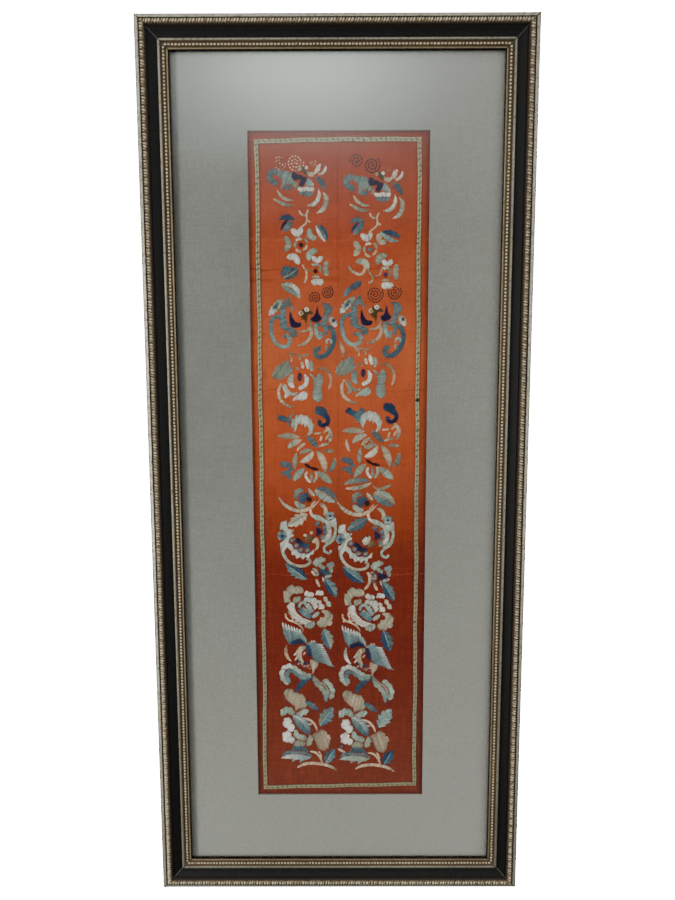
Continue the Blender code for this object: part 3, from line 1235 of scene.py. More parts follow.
def lobed_patch(work, outline, angle, tones, far=None):
    """Fill a shape whose sides bulge outward."""
    patch(work, lobed(outline), angle, tones, far, False)


def spot(work, centre, radius, tones, angle=90.0):
    """A small round filled dot, on top of other stitches."""
    turn = np.radians(np.arange(0, 360, 30))
    edge = np.stack([centre[0] + radius * np.cos(turn), centre[1] + radius * np.sin(turn)], axis=1)
    over(work, patch, list(edge), angle, tones)


def ring(work, centre, radius, width, tones, turn=360.0, start=0.0):
    """A ring, or part of one, of short stitches on top of the others."""
    path = spiral_path(centre, radius, radius, start, start + turn)
    over(work, stroke, path, width, tones, 1.0, 1.0, None, 0.3)


def dotted_coil(work, centre, radius, turns, tones, start=90.0, width=1.7, pitch=2.9, share=0.68):
    """A coil of small separate running stitches."""
    path = spiral_path(centre, 0.6, radius, start, start + 360 * turns, 120)
    count = int(path_length(path) / pitch)
    for number in range(count):
        low, high = sample(path, np.array([number / count, (number + share) / count]))
        tone = floss(tones, work["dice"].random())
        work["threads"].append((low, high, tone, tone, width, 0.0))


# %% Threads into a mesh
SECTION_SHARES = np.array([0.0, 0.14, 0.5, 0.86, 1.0])
SECTION_LIFTS = np.array([0.15, 0.85, 1.0, 0.85, 0.15])
SECTION_WIDTHS = np.array([0.55, 1.0, 1.0, 1.0, 0.55])
# painted shade: each thread is darker towards its ends and lighter in its middle
PAINTED_THREAD_END_SHADE = np.array([0.58, 0.9, 1.08, 0.9, 0.58])
THREAD_LIFT = 0.42
THREAD_ROOT = 0.12
THREAD_OVERLAP = 0.35


def threads_to_mesh(name, threads):
    """Make each thread a closed strip with a ridge, and keep its colours as an attribute."""
    starts, ends, near, far, widths, lifts = [np.array(column) for column in zip(*threads)]
    reach = ends - starts
    length = np.maximum(np.hypot(reach[:, 0], reach[:, 1]), 0.05)
    extra = reach / length[:, None] * THREAD_OVERLAP
    starts, ends, reach = starts - extra, ends + extra, reach + 2 * extra
    length = length + 2 * THREAD_OVERLAP
    side = np.stack([-reach[:, 1], reach[:, 0]], axis=1) / length[:, None]
    count, stations = len(threads), len(SECTION_SHARES)
    places = np.zeros((count, stations, 3, 3))
    colours = np.ones((count, stations, 3, 4))
    lift_scale = np.clip(length / 2.5, 0.55, 1.0)
    for station, (share, lift, spread) in enumerate(zip(SECTION_SHARES, SECTION_LIFTS, SECTION_WIDTHS)):
        middle = starts + reach * share
        root = silk_front(middle[:, 0], middle[:, 1])
        for corner, offset in enumerate((-0.5, 0.0, 0.5)):
            flat = middle + side * (widths * spread * offset)[:, None]
            outward = root + lifts + (THREAD_LIFT * lift * lift_scale if corner == 1 else -THREAD_ROOT)
            places[:, station, corner] = np.stack([flat[:, 0], -outward, flat[:, 1]], axis=1)
        # painted shade along each thread
        colours[:, station, :, :3] = (near * (1 - share) + far * share)[:, None, :] * PAINTED_THREAD_END_SHADE[station]
    places = places.reshape(-1, 3) * MM + np.array([0, 0, CENTRE_Z])
    faces = []
    for station in range(stations - 1):
        for corner in range(3):
            following = (corner + 1) % 3
            base = station * 3
            faces.append((base + corner, base + following, base + 3 + following, base + 3 + corner))
    last = (stations - 1) * 3
    offsets = (np.arange(count) * stations * 3)[:, None, None]
    quads = (np.array(faces)[None] + offsets).reshape(-1, 4)
    caps = (np.array([(0, 2, 1), (last, last + 1, last + 2)])[None] + offsets).reshape(-1, 3)
    mesh = bpy.data.meshes.new(name)
    mesh.from_pydata(places.tolist(), [], quads.tolist() + caps.tolist())
    layer = mesh.color_attributes.new(name="floss", type="FLOAT_COLOR", domain="POINT")
    layer.data.foreach_set("color", np.clip(colours, 0, 1).ravel())
    mesh.update()
    return mesh


# %% Material: silk floss
def make_floss_finish():
    material, shader, place = new_material("silk_floss")
    dyed = add_node("Attribute", {}, place.tree, attribute_name="floss")["Color"]
    dust = noise(place, 260.0, 4.0, 0.6)
    fine = noise(place, 2400.0, 2.0)
    fade_and_painted_light_pool = blend(remap(dust, 0.4, 0.7) * 0.16, dyed, srgb(150, 120, 96))
    # painted sheen and painted shade: the floss is darkened in small patches and lightened in others
    dark_nubs_and_painted_shade = remap(noise(place, 520.0, 3.0, 0.7), 0.38, 0.54, 0.26, 0.0)
    crest = remap(noise(place, 620.0, 2.0, 0.6), 0.5, 0.64, 0.0, 0.8)
    painted_sheen_mottle = lighter(crest, lighter(dark_nubs_and_painted_shade, fade_and_painted_light_pool, 0.45), 1.6)
    strand = lighter(remap(fine, 0.3, 0.7, 0.0, 0.3), painted_sheen_mottle, 0.5)
    connect(shader, base_color=strand)
    connect(shader, specular_ior_level=0.22)
    connect(shader, roughness=remap(dust, 0.3, 0.7, 0.42, 0.58))
    connect(shader, normal=bump(fine, 0.03 * MM, 0.5))
    return material


floss_finish = make_floss_finish()


def stitch(motif, *east_shift, west=True):
    """Work a motif on the west band, and its repeat on the east one, moved across and up."""
    name = motif.__name__
    total = 0
    for band, shift in (("west", (0.0, 0.0) if west else ()), ("east", east_shift)):
        if not shift:
            continue
        work = {"threads": [], "dice": random.Random(name + band), "east": band == "east"}
        work.update(bundle=0.0, lift=0.0)
        motif(work)
        move = np.array(shift, dtype=float)
        threads = [(start + move, end + move, *rest) for start, end, *rest in work["threads"]]
        piece = bpy.data.objects.new(name + "_" + band, threads_to_mesh(name + "_" + band, threads))
        bpy.context.scene.collection.objects.link(piece)
        smooth(piece, 75)
        finish_piece(piece, floss_finish)
        total += len(threads)
    print(name, total, "threads")

# %% [markdown]
# ## The top butterfly and the plum branch
#
# Butterflies, plum blossom, pomegranate and peony are old wishes for a happy home, and they climb each
# band in one long spray. Each motif is a function, so it can be worked on both bands: the embroiderer
# repeated the drawing but changed a few leaves and shades, and so does this.

# %% Stitch the top butterfly
CREAM_FINGERS = (
    # start, tip, width and bend of each feeler
    ((-25, 315.5), (-20.5, 324.5), 2.8, -1.2), ((-20, 316.5), (-17.5, 326), 3.2, 0.6),
    ((-19, 315.5), (-12, 324), 3, -2),
)
BUTTERFLY_BODY = (
    # outline and tones of each band of the body
    (((-33.2, 305.4), (-30.6, 312.2, 0.4), (-28.6, 311.2, 0.5), (-25.6, 307.4, 0.4), (-24.6, 304.8),
         (-28, 303.8), (-32, 305)), "pearl mist"),
    (((-39.8, 303.2), (-36, 302.6), (-32, 304), (-28, 302.8), (-24.2, 303.8), (-24, 300.6, 0.7),
         (-28, 299.6, 0.8), (-32, 300.8, 0.8), (-36, 299.4, 0.8), (-40, 300.2, 0.8)), "white"),
    (((-39.4, 299.2), (-36, 298.2), (-32, 299.6), (-28, 298.4), (-24.4, 299.4), (-25.6, 296.4, 0.6),
         (-31, 294.4, 0.8), (-37, 296, 0.8)), "mist steel"),
)


def top_butterfly(work):
    steel = "mist steel" if work["east"] else "steel"
    stroke(work, [(-61.5, 318.5), (-65.5, 319), (-69.5, 316.5), (-69.5, 311.5), (-66.5, 308.5), (-61.5, 306)],
        5, steel, 0.8, 0.9, lobes=6)
    wing = [(-61.6, 314.8), (-60.4, 319.8), (-54.6, 319.4, 0.5), (-48.2, 318.2, 0.7), (-46.8, 313.4, 0.7),
        (-45.4, 309, 0.7), (-41.2, 306.4, 0.6), (-42.8, 301.8), (-46.2, 304.6, -0.5), (-49.6, 306.2, 0.4),
        (-53.4, 306), (-55.2, 302.2, 0.7), (-58.6, 302.4), (-56.4, 307.2), (-57.4, 311.8)]
    lobed_patch(work, wing, 65, "sage mist")
    petal(work, (-51, 303), -90, 7.5, 4.5, steel, 0)
    lobed_patch(work, [(-47.4, 313), (-46.4, 317, 0.8), (-42.6, 317.4), (-39.6, 315.2, 0.4),
        (-36, 314.4, 0.4), (-36.2, 311.2), (-41, 310.4), (-44.6, 309.6, 0.5)], 80, "navy")
    lobed_patch(work, [(-39.2, 304.4, 0.4), (-38.2, 309.2, 0.4), (-35.4, 313.2, 0.4), (-31.6, 313),
        (-32.2, 309), (-34.4, 306), (-36.2, 303.8)], 70, "navy")
    for outline, tones in BUTTERFLY_BODY:
        lobed_patch(work, outline, 85, tones)
    patch(work, [(-37.5, 322), (-34.5, 324), (-33, 321), (-31, 319), (-31.2, 316), (-34, 316.5), (-36, 319)],
        70, "olive")
    spot(work, (-38, 321.5), 1.8, "beige")
    spot(work, (-31.8, 322.3), 1.6, "white")
    patch(work, [(-31.5, 319.5), (-28.5, 317.8), (-26, 318.5), (-23.5, 316.5), (-25, 314), (-29, 313.8),
        (-31, 316)], 20, "cream beige")
    for start, tip, width, bend in CREAM_FINGERS:
        blade(work, start, tip, width, "cream white", bend)
    blade(work, (-22.5, 313.5), (-12.3, 301), 6.4, "steel blue" if work["east"] else "steel blue steel", 1.2,
        teeth=4)
    stroke(work, [(-62, 300.5), (-58, 294.5), (-52, 291), (-45, 290.5)], 3, "cream sage", 0.05, -0.2)
    stroke(work, [(-66, 292), (-60, 288.5), (-53, 285.8), (-43.5, 286)], 3.2, "cream sage tan", 0.05, -0.2)
    stroke(work, [(-19.7, 301.5), (-19, 296), (-21, 290), (-25.5, 286), (-31.5, 285)], 3.6,
        "cream white sage", 0, 0.1)
    stroke(work, [(-15, 298.5), (-11.8, 293), (-12.2, 286.5), (-15.5, 281), (-21.5, 277.5)], 4.4,
        "cream sage white", 0, 0)


stitch(top_butterfly, 78.2, -5.6)


# %% Stitch the twig and its leaves
def plum_twig(work):
    stroke(work, [(-39.3, 280.5), (-38, 277), (-34.5, 275.2), (-31.5, 276)], 1.6, "cream sage", 0.6, 0.5)
    stroke(work, [(-30, 281), (-32, 276.5), (-31.6, 271), (-33.2, 267), (-37.5, 263.5), (-40.5, 261)], 1.5,
        "cream pink", 0.6, 0.6)
    stroke(work, [(-32, 271), (-28.3, 268.5)], 1.7, "pink", 0.6, 0.6)
    dark, light = ("steel", "blue") if work["east"] else ("royal", "steel")
    blade(work, (-60, 271), (-44.5, 270.5), 5.6, dark, 3, teeth=3)
    blade(work, (-58.5, 260.5), (-50.5, 271.5), 2.6, "navy" if not work["east"] else "royal", 1.2)
    blade(work, (-47, 271), (-56.5, 259), 6.2, light + " mist", 0.8, teeth=3)


def striped_leaf(work):
    if work["east"]:
        blade(work, (-26.5, 263), (-7, 257.5), 5.8, "royal blue", 2.2, teeth=4)
        blade(work, (-27.5, 264), (-9, 254.5), 5, "pearl mist", -2.6, teeth=4)
        return
    blade(work, (-22.5, 265), (-12.8, 249), 3.4, "white", -1)
    blade(work, (-21, 266), (-11, 250), 3.2, "steel mist", 0.8)
    blade(work, (-19, 266.2), (-10.8, 251.5), 2.8, "blue royal", 1.8)


stitch(plum_twig, 72.5, -3)
stitch(striped_leaf, 71.5, -5)

# %% Stitch the plum blossom
BLOSSOM_PETALS = (
    # centre, facing, across, deep, tones on the west band and on the east band
    ((-41.8, 258.2), 95, 12.4, 8.2, "white", "white"),
    ((-28, 255.4), 35, 13.2, 7.2, "sage pearl", "sage cream"),
    ((-51.4, 247), 180, 15.4, 7.4, "sage", "sage cream"),
    ((-44.8, 232.9), 240, 14.8, 8, "white", "beige white"),
    ((-27.9, 237.6), 315, 14.2, 7.6, "pearl sage", "sage"),
)
BLOSSOM_CENTRES = (
    ((-40.2, 251.9), 100, 6.4, 2.6, "cream white"),
    ((-32.5, 250.2), 35, 6.4, 2.3, "sage"),
    ((-44.4, 246.2), 180, 6.2, 2.5, "sage"),
    ((-41, 239.6), 240, 6.6, 2.3, "cream"),
    ((-33, 242.5), 320, 6.6, 2.3, "cream"),
)


def plum_blossom(work):
    for centre, facing, across, deep, west_tones, east_tones in BLOSSOM_PETALS:
        petal(work, centre, facing, across, deep, east_tones if work["east"] else west_tones, 0.2, None, -0.3)
    for centre, facing, across, deep, tones in BLOSSOM_CENTRES:
        petal(work, centre, facing, across, deep, tones, 0, None, 0.4)
    spot(work, (-38, 245.8), 2.2, "steel" if work["east"] else "purple")


def half_blossom(work):
    petal(work, (-21.2, 231.2), 90, 11.4, 6.8, "white", 0.4, None, -0.25)
    petal(work, (-23.4, 225.8), 90, 7.4, 2.4, "pearl", 0, None, -0.2)
    petal(work, (-12.4, 222), 0, 15.4, 6.4, "sage", 0.14)
    petal(work, (-18.4, 221.3), 0, 8, 2.6, "tan sage", 0)
    spot(work, (-23.2, 219.3), 2.1, "violet" if work["east"] else "purple")
    petal(work, (-23, 213.9), -90, 7.4, 2.4, "sage cream", 0, None, -0.2)
    petal(work, (-21.2, 208), -90, 12.4, 7.4, "white", 0.24, None, 0.1)


def blossom_stem(work):
    if work["east"]:
        stroke(work, [(-61.5, 228.5), (-57.5, 223), (-51, 219.7), (-46, 221.5), (-44, 227.5)], 2.6,
            "sage cream pink", 0.4, 0.6)
        stroke(work, [(-41.5, 226.5), (-39, 221), (-36.3, 216.5), (-37, 212.8), (-41, 210.8)], 1.5,
            "tan cream", 0.5, 0.5)
        stroke(work, [(-36.5, 218), (-31, 218.5), (-28, 221), (-27.5, 225)], 1.3, "tan pink", 0.5, 0.5)
        return
    stroke(work, [(-36.5, 226), (-35, 222.5), (-31.5, 220.5), (-27, 220)], 1.6, "pink tan", 0.7, 0.4)
    stroke(work, [(-33.2, 221), (-32.4, 216), (-33, 211), (-35, 207.5)], 2, "cream pink", 0.5, 0.6)


stitch(plum_blossom, 71.6, -4.9)
stitch(half_blossom, 72.4, -3.8)
stitch(blossom_stem, 72.4, -3.8)


# %% Stitch the leaves below the blossom
def broad_leaf(work):
    if work["east"]:
        blade(work, (-48.5, 212.5), (-62, 204), 7, "royal blue", 0.8, 0.75, "steel", teeth=3)
        blade(work, (-58, 207), (-66.5, 196), 5, "blue mist", -0.8)
        return
    lobed_patch(work, [(-57.8, 213.4, 0.9), (-58.6, 218.6, 0.8), (-54.8, 225, 0.4), (-49, 223.8, 0.3),
        (-41, 222.4), (-46.4, 218.8), (-51, 215.6)], 60, "blue steel blue")
    lobed_patch(work, [(-56.8, 211.6), (-51.6, 214.6), (-47, 217.6), (-40.6, 221.6), (-42.4, 216.8, 0.8),
        (-46.6, 212.8, 0.8)], 110, "royal steel blue")
    stroke(work, [(-56.6, 212.6), (-51, 215.4), (-46.6, 218.2), (-41, 222)], 0.9, "sage", 0.7, 0.5)


def long_leaf(work):
    stroke(work, [(-59, 206.3), (-49, 205.6), (-42.4, 200.8), (-39.3, 191.5)], 3.8, "sage white pearl", 0.1,
        0, lobes=-7)
    stroke(work, [(-58.5, 205), (-52, 200.4), (-46, 197.3), (-40.8, 192.5)], 3.8, "sage mist sage", 0.1, 0,
        lobes=6)


stitch(broad_leaf, 73, -3)
stitch(long_leaf)

# %% [markdown]
# ## Scroll-winged butterfly
#
# Its wings are scrolls, stitched across their own line like a rope, and dark patches mark where the
# upper wings cross. The dotted coils between the motifs are small running stitches in a spiral.


# %% Stitch the scroll-winged butterfly
def scroll_wing_left(work):
    body = [(-51.6, 194), (-49.2, 188.5), (-46.6, 183), (-47.2, 178.4), (-50, 183), (-52.6, 184.4),
        (-54.2, 181.6), (-53.8, 176), (-54.6, 171.5, 0.8), (-53, 166), (-51.2, 162.4, 0.8),
        (-46.2, 160.4, 1.2), (-43, 156.4, 1.2), (-45.2, 152.4, 0.9), (-49.6, 153.4), (-50.4, 156.6),
        (-54, 158.2, 0.6), (-58.6, 160.6, 0.6), (-61.4, 164.2), (-61.2, 169), (-62.6, 174.2),
        (-60.2, 176.8, 0.8), (-59.4, 181.6, 0.8), (-57.4, 186.6), (-54.4, 189.6)]
    lobed_patch(work, body, 20, "steel mist steel")
    curl = [(-59, 172.6), (-65.5, 172.6), (-69.6, 168.5), (-70.2, 161), (-68.8, 152.6), (-65, 145.6),
        (-59, 142), (-53.4, 142.8), (-50.2, 147.5), (-51, 151.8), (-54.6, 153.6), (-57.2, 151.2)]
    stroke(work, curl, 4, "steel mist pearl steel", 0.9, 0.9)
    blade(work, (-71.6, 174.2), (-56.6, 191), 8, "white pearl sage", 0.8, 0.5, teeth=5)
    over(work, blade, (-67.4, 180), (-61.8, 187.6), 3.4, "blue navy blue", 0)
    patch(work, [(-49.8, 178), (-47.2, 172), (-43.8, 167.4), (-38.6, 166.4), (-40, 162.4), (-46.5, 161.8),
        (-49.5, 163.6), (-50.8, 170)], 75, "navy")


def scroll_wing_right(work):
    body = [(-17.2, 186.6), (-12.4, 187, 0.6), (-7.6, 184, 0.8), (-5.4, 180, 0.4), (-8.4, 174.6),
        (-10.8, 170.5), (-11.8, 165), (-10.4, 161.4), (-11.2, 154.6, 1), (-14, 154.6), (-15, 160.4),
        (-18.6, 163.6), (-19.6, 165.6), (-16.6, 168.4, 0.6), (-14.6, 173.4), (-14.8, 179), (-14.8, 183)]
    lobed_patch(work, body, 15, "steel mist steel")
    stroke(work, [(-19.6, 166), (-23, 163.4), (-22.6, 157), (-20.2, 151.6), (-17.6, 152.6), (-18.2, 157.6)],
        4.2, "steel pearl mist", 0.9, 0.7)
    curl = [(-12.5, 163.5), (-6.4, 160), (-4.1, 152.5), (-5.1, 145), (-9, 137.4), (-15, 131.8), (-21, 131.6),
        (-24, 135.5), (-22, 139.6), (-18.2, 139.4)]
    stroke(work, curl, 5, "steel blue steel", 0.6, 0.8)
    ring(work, (-9.3, 147), 2.6, 1.7, "pearl", 260, -40)
    stroke(work, [(-12.5, 143.5), (-12.2, 140), (-9.5, 138)], 1.6, "sage")
    blade(work, (-8.8, 172.4), (-2.2, 162.6), 7.4, "sage white", 0.4, 0.5, teeth=3)
    spot(work, (-4.6, 169), 1.7, "navy")
    patch(work, [(-21.5, 183.4), (-19.8, 176), (-17, 171.4), (-20, 168.2), (-25, 167), (-28.6, 170.3),
        (-25, 173.8), (-23.2, 178)], 70, "navy")


def scroll_butterfly_body(work):
    patch(work, [(-37, 180.5), (-33, 180), (-27, 178.2), (-26.5, 175.6), (-31.5, 175.4), (-32.3, 170),
        (-33.5, 164.5), (-35, 169.5), (-38, 170.5), (-39, 174.5)], 70, "olive")
    for centre, tone in (((-38.6, 176.6), "cream"), ((-32.6, 180.2), "white")):
        ring(work, centre, 1.7, 1.1, tone)
    stroke(work, [(-28.6, 170), (-28.6, 163), (-27.9, 155), (-30.8, 149), (-36, 144.8), (-43.3, 143)], 3.3,
        "tan cream beige", 0.5, 0.15)
    stroke(work, [(-29, 162), (-33, 158.5), (-40.3, 157.3)], 1.8, "cream beige", 0.8, 0.3)


def comb_twig(work):
    if work["east"]:
        stroke(work, [(-51.5, 137.5), (-48.5, 134), (-42, 133.2), (-35, 132.5), (-31.5, 134.2)], 1.4,
            "cream tan")
        for start, end in (((-49, 134.5), (-47.6, 131)), ((-45.5, 133.5), (-45.5, 125.8)),
                ((-39.5, 132.8), (-38.2, 127))):
            stroke(work, [start, end], 1.3, "tan cream", 0.8, 0.5)
        return
    stroke(work, [(-53.5, 135.2), (-47, 134.4), (-40, 132), (-36, 132.8), (-30.5, 134.2)], 1.5, "tan sage")
    for points in ([(-51, 134.8), (-49, 130.5), (-49.3, 126)], [(-43, 133), (-40.5, 131), (-40, 128)],
            [(-37, 132.6), (-35.2, 131)]):
        stroke(work, points, 1.3, "tan cream", 0.8, 0.5)


stitch(scroll_wing_left, 74.2, 2)
stitch(scroll_wing_right, 72.4, 1)
stitch(scroll_butterfly_body, 73, 2.2)
stitch(comb_twig, 67.5, 6.3)


# %% Stitch the dotted coils
def dotted_coils(work):
    if work["east"]:
        dotted_coil(work, (19.2, 328.6), 7.2, 2.3, "brown", 90, 2, 3.4, 0.66)
        dotted_coil(work, (35, 324.8), 8.6, 2.6, "brown", 200, 2, 3.4, 0.66)
        dotted_coil(work, (51.4, 320.5), 3.4, 1.4, "brown tan", 90, 1.1, 2.6, 0.6)
        dotted_coil(work, (38.5, 195.5), 8.8, 3, "brown", 40)
        dotted_coil(work, (58.5, 197.8), 7.8, 2.7, "brown", 150)
        return
    dotted_coil(work, (-59, 326), 7.2, 2.3, "pink tan brown cream", 30, 1.5, 3.2, 0.44)
    dotted_coil(work, (-43, 327.5), 8.8, 2.6, "pink cream tan", 160, 1.4, 3.1, 0.42)
    dotted_coil(work, (-25.4, 327.2), 3.8, 1.2, "tan pink", 0, 1.3, 3, 0.44)
    dotted_coil(work, (-23.5, 192.5), 6.2, 2.4, "brown")
    dotted_coil(work, (-11.3, 198), 6.8, 2.6, "brown", 220)


stitch(dotted_coils, 0, 0)

# %% [markdown]
# ## Pomegranate flower and crowned blossom
#
# These two sit in the middle of the spray. Their petals are pale, long and pointed, and the threads run
# a little aslant across each, as an embroiderer turns the stitch to follow the petal.


# %% Stitch the pomegranate flower
def pomegranate_flower(work):
    lobe = [(-65.2, 107, 0.7), (-69.4, 110.4, 0.6), (-68.8, 114.6, 1.2), (-66, 117, 1.3), (-64, 121.4, 1.3),
        (-60, 123, 1.3), (-56.2, 126, 1.4), (-51, 127.6, 0.5), (-50, 121), (-47.6, 117), (-52, 112.4),
        (-57.4, 108.8), (-61.4, 106.8)]
    lobed_patch(work, lobe, 60, "sage", "mist sage")
    blade(work, (-40.5, 106), (-40.3, 114.6), 5, "violet navy", 0, 0.6)
    blade(work, (-45.5, 120.5), (-41, 118.2), 3.2, "tan sage", 0)
    for start, tip, width, tones in (
        ((-38.8, 126), (-36.8, 119.5), 3.2, "cream white"),
        ((-33.8, 129.3), (-31.6, 118.8), 4.2, "white"),
        ((-28.6, 127), (-28, 116.5), 4.8, "sage pearl"),
    ):
        blade(work, start, tip, width, tones, 0.4, 0.6)
    stroke(work, [(-22.5, 118.4), (-16, 119.4), (-10.5, 115.6), (-7.6, 108.5), (-8.2, 102), (-10.2, 97.8)],
        2.6, "tan beige pink", 0.3, 0.4)
    stem = [(-30, 113.8), (-26.3, 107.5), (-25.7, 100), (-27.3, 93), (-26, 87), (-21.5, 84), (-17.6, 86.5),
        (-16.7, 92), (-17.5, 99), (-15.8, 105), (-16.3, 110.5), (-18.8, 113.8), (-22.2, 112.6), (-23.5, 109),
        (-26.8, 112.3)]
    patch(work, stem, 5, "pearl mist sage", "mist sage mist")
    blade(work, (-47, 113.3), (-46.5, 99), 6.6, "steel pearl" if work["east"] else "sage white", -3.6, 0.5)
    stroke(work, [(-35.2, 113), (-33, 107.5), (-35, 101.5), (-41.5, 98.2)], 4, "white", 0.1, 0.6)
    patch(work, [(-58, 103), (-54.8, 102.2), (-52.6, 97.2), (-48, 93.6), (-43.5, 94.5), (-45, 91.2),
        (-51, 90.5), (-56.5, 88.3), (-56.2, 94), (-58.8, 98.5)], 120, "sage" if work["east"]
        else "pearl white")
    patch(work, [(-48, 85.5), (-46.2, 89), (-42, 92.2), (-36.5, 95.3), (-32.8, 93.8), (-33.4, 88.5),
        (-37.5, 85.6), (-43, 86.6)], 70, "pearl" if work["east"] else "white")
    stroke(work, [(-60, 103.5), (-62.8, 97), (-62.2, 89), (-58.2, 83.2), (-52, 79.6), (-46, 79)], 3,
        "pink cream tan", 0.25, 0.3)


stitch(pomegranate_flower, 66.8, 4.1)


# %% Stitch the crown of the tall flower
def crown(work):
    horn = [(-24.4, 72, 0.5), (-24.2, 78, 1), (-19, 78.8, 1), (-14.4, 77, 1), (-12, 71.8, 0.8),
        (-10.4, 67), (-14.5, 65.6), (-18.4, 69.4), (-22, 70.4)]
    lobed_patch(work, horn, 130, "royal blue" if not work["east"] else "royal")
    stroke(work, [(-12.3, 70), (-10.4, 65), (-12, 60.6), (-16.5, 59), (-20, 61), (-19.3, 64.8)], 4.2,
        "royal navy royal", 0.9, 0.7)
    arch = [(-46.2, 51.4), (-48.8, 57, 0.6), (-48.6, 62.4, 1), (-46.2, 67.4, 1.4), (-42.2, 69, 1.5),
        (-36.6, 69.2, 1.3), (-31.2, 66.8, 1.3), (-28, 62.4, 1), (-26.2, 57), (-28, 50.6), (-31.6, 47.2),
        (-32.8, 49.2), (-31, 53), (-31.6, 57), (-34.2, 59.2), (-35.4, 57), (-37, 61.2), (-39, 59),
        (-40.6, 61.6), (-43, 60), (-44.6, 55.4)]
    lobed_patch(work, arch, 85, "pearl white pearl")
    stroke(work, [(-13, 57.8), (-9.8, 54), (-7.6, 49), (-8.9, 43.5), (-10.2, 40)], 3.6, "cream beige", 0.3,
        0.25)
    for points in ([(-11.3, 55), (-15.6, 51)], [(-9.6, 50), (-12, 46.6), (-13.2, 43.6)],
            [(-17.6, 47.8), (-19.2, 42.5)], [(-25.5, 50.4), (-18.2, 51)]):
        stroke(work, points, 1.8, "pink cream", 0.8, 0.2)
    if work["east"]:
        stroke(work, [(-64, 72), (-58, 68.5), (-53, 65), (-51, 58.5)], 5.2, "royal blue mist", 0.8, 0.2,
            lobes=3)
        stroke(work, [(-45.5, 72.8), (-49, 69), (-52.5, 65.5)], 5.2, "blue mist", 0.9, 0.6, lobes=2)
        return
    stroke(work, [(-64, 67.4), (-58, 66), (-52.3, 64)], 4.8, "blue steel", 0.8, 0.7, lobes=3)
    stroke(work, [(-48.4, 72), (-51.3, 67), (-52.3, 62), (-50, 56.5)], 2.2, "sage steel tan", 0.7, 0.2)


stitch(crown, 72.4, 3.8)

# %% Stitch the tall flower's petals
TALL_PETALS = (
    # start, tip, width, bend and tones
    ((-64.3, 47.5), (-41, 46.8), 6.4, 0.9, "sage beige cream"),
    ((-53.8, 34.8), (-38.5, 43.6), 6.6, 1.6, "pearl cream"),
    ((-44, 32), (-35, 40.2), 3.4, 0.8, "cream"),
    ((-41, 28.8), (-28, 33), 4.6, 1, "sage beige"),
    ((-40.8, 20), (-27, 31.8), 6.6, -2.6, "white cream"),
    ((-46, 13), (-44.6, 29.8), 5, 1.2, "sage"),
    ((-14, 8.8), (-23.4, 32), 7.6, -2.4, "beige cream beige"),
    ((-10.3, 9), (-3.8, 24.4), 5.2, -1.8, "steel sage"),
    ((-20.2, 36.4), (-10.4, 39.2), 2.8, 0.8, "cream sage"),
    ((-16.5, 32), (-4.2, 31.4), 4.2, 0.3, "tan sage"),
)


def tall_petals(work):
    for start, tip, width, bend, tones in TALL_PETALS:
        blade(work, start, tip, width, tones, bend, 0.7, None, 0.1)
    blade(work, (-33.5, 47.6), (-21.8, 35.4), 6.4, "steel", 0.6, 0.6)
    if work["east"]:
        ring(work, (-37.2, 33.8), 4.6, 1.8, "beige sage")
        blade(work, (-60.3, 38.5), (-56.5, 25.5), 3.6, "cream", -1.2)


def lower_petals(work):
    blade(work, (-36.3, 18), (-29, 13.3), 3, "purple", 0)
    blade(work, (-30.3, 13.4), (-21, 11.8), 3, "purple", 0)
    blade(work, (-47.5, -0.5), (-36.3, 12.8), 7.4, "pearl sage", 1.2, 0.7)
    stroke(work, [(-33.5, 9.8), (-34.8, 4), (-30, -2.4)], 2.6, "pink white", 0.4, 0.4)
    stroke(work, [(-24.5, 9.8), (-23.3, 4), (-27, -2.4)], 2.6, "cream sage", 0.4, 0.4)
    blade(work, (-30, 9.3), (-28.6, -0.5), 3, "mist" if work["east"] else "tan sage", 0.3)
    blade(work, (-22.8, 9.2), (-6.8, -3.2), 8.2, "sage" if not work["east"] else "sage pearl", 0.6, 0.7)
    patch(work, [(-62.4, 19), (-59, 20.8), (-54, 20.3), (-50, 17.5), (-50, 14.5), (-46.3, 12), (-50, 9.8),
        (-51.4, 6.5), (-49.8, 1.8), (-53.5, 2), (-56.3, 5.3), (-61, 5.5), (-60.8, 9), (-57, 10.5),
        (-52.6, 12.3), (-56, 14), (-61, 15.2)], 30, "steel blue", "blue steel")


stitch(tall_petals, 69, 5.6)
stitch(lower_petals, 65.6, 4.4)


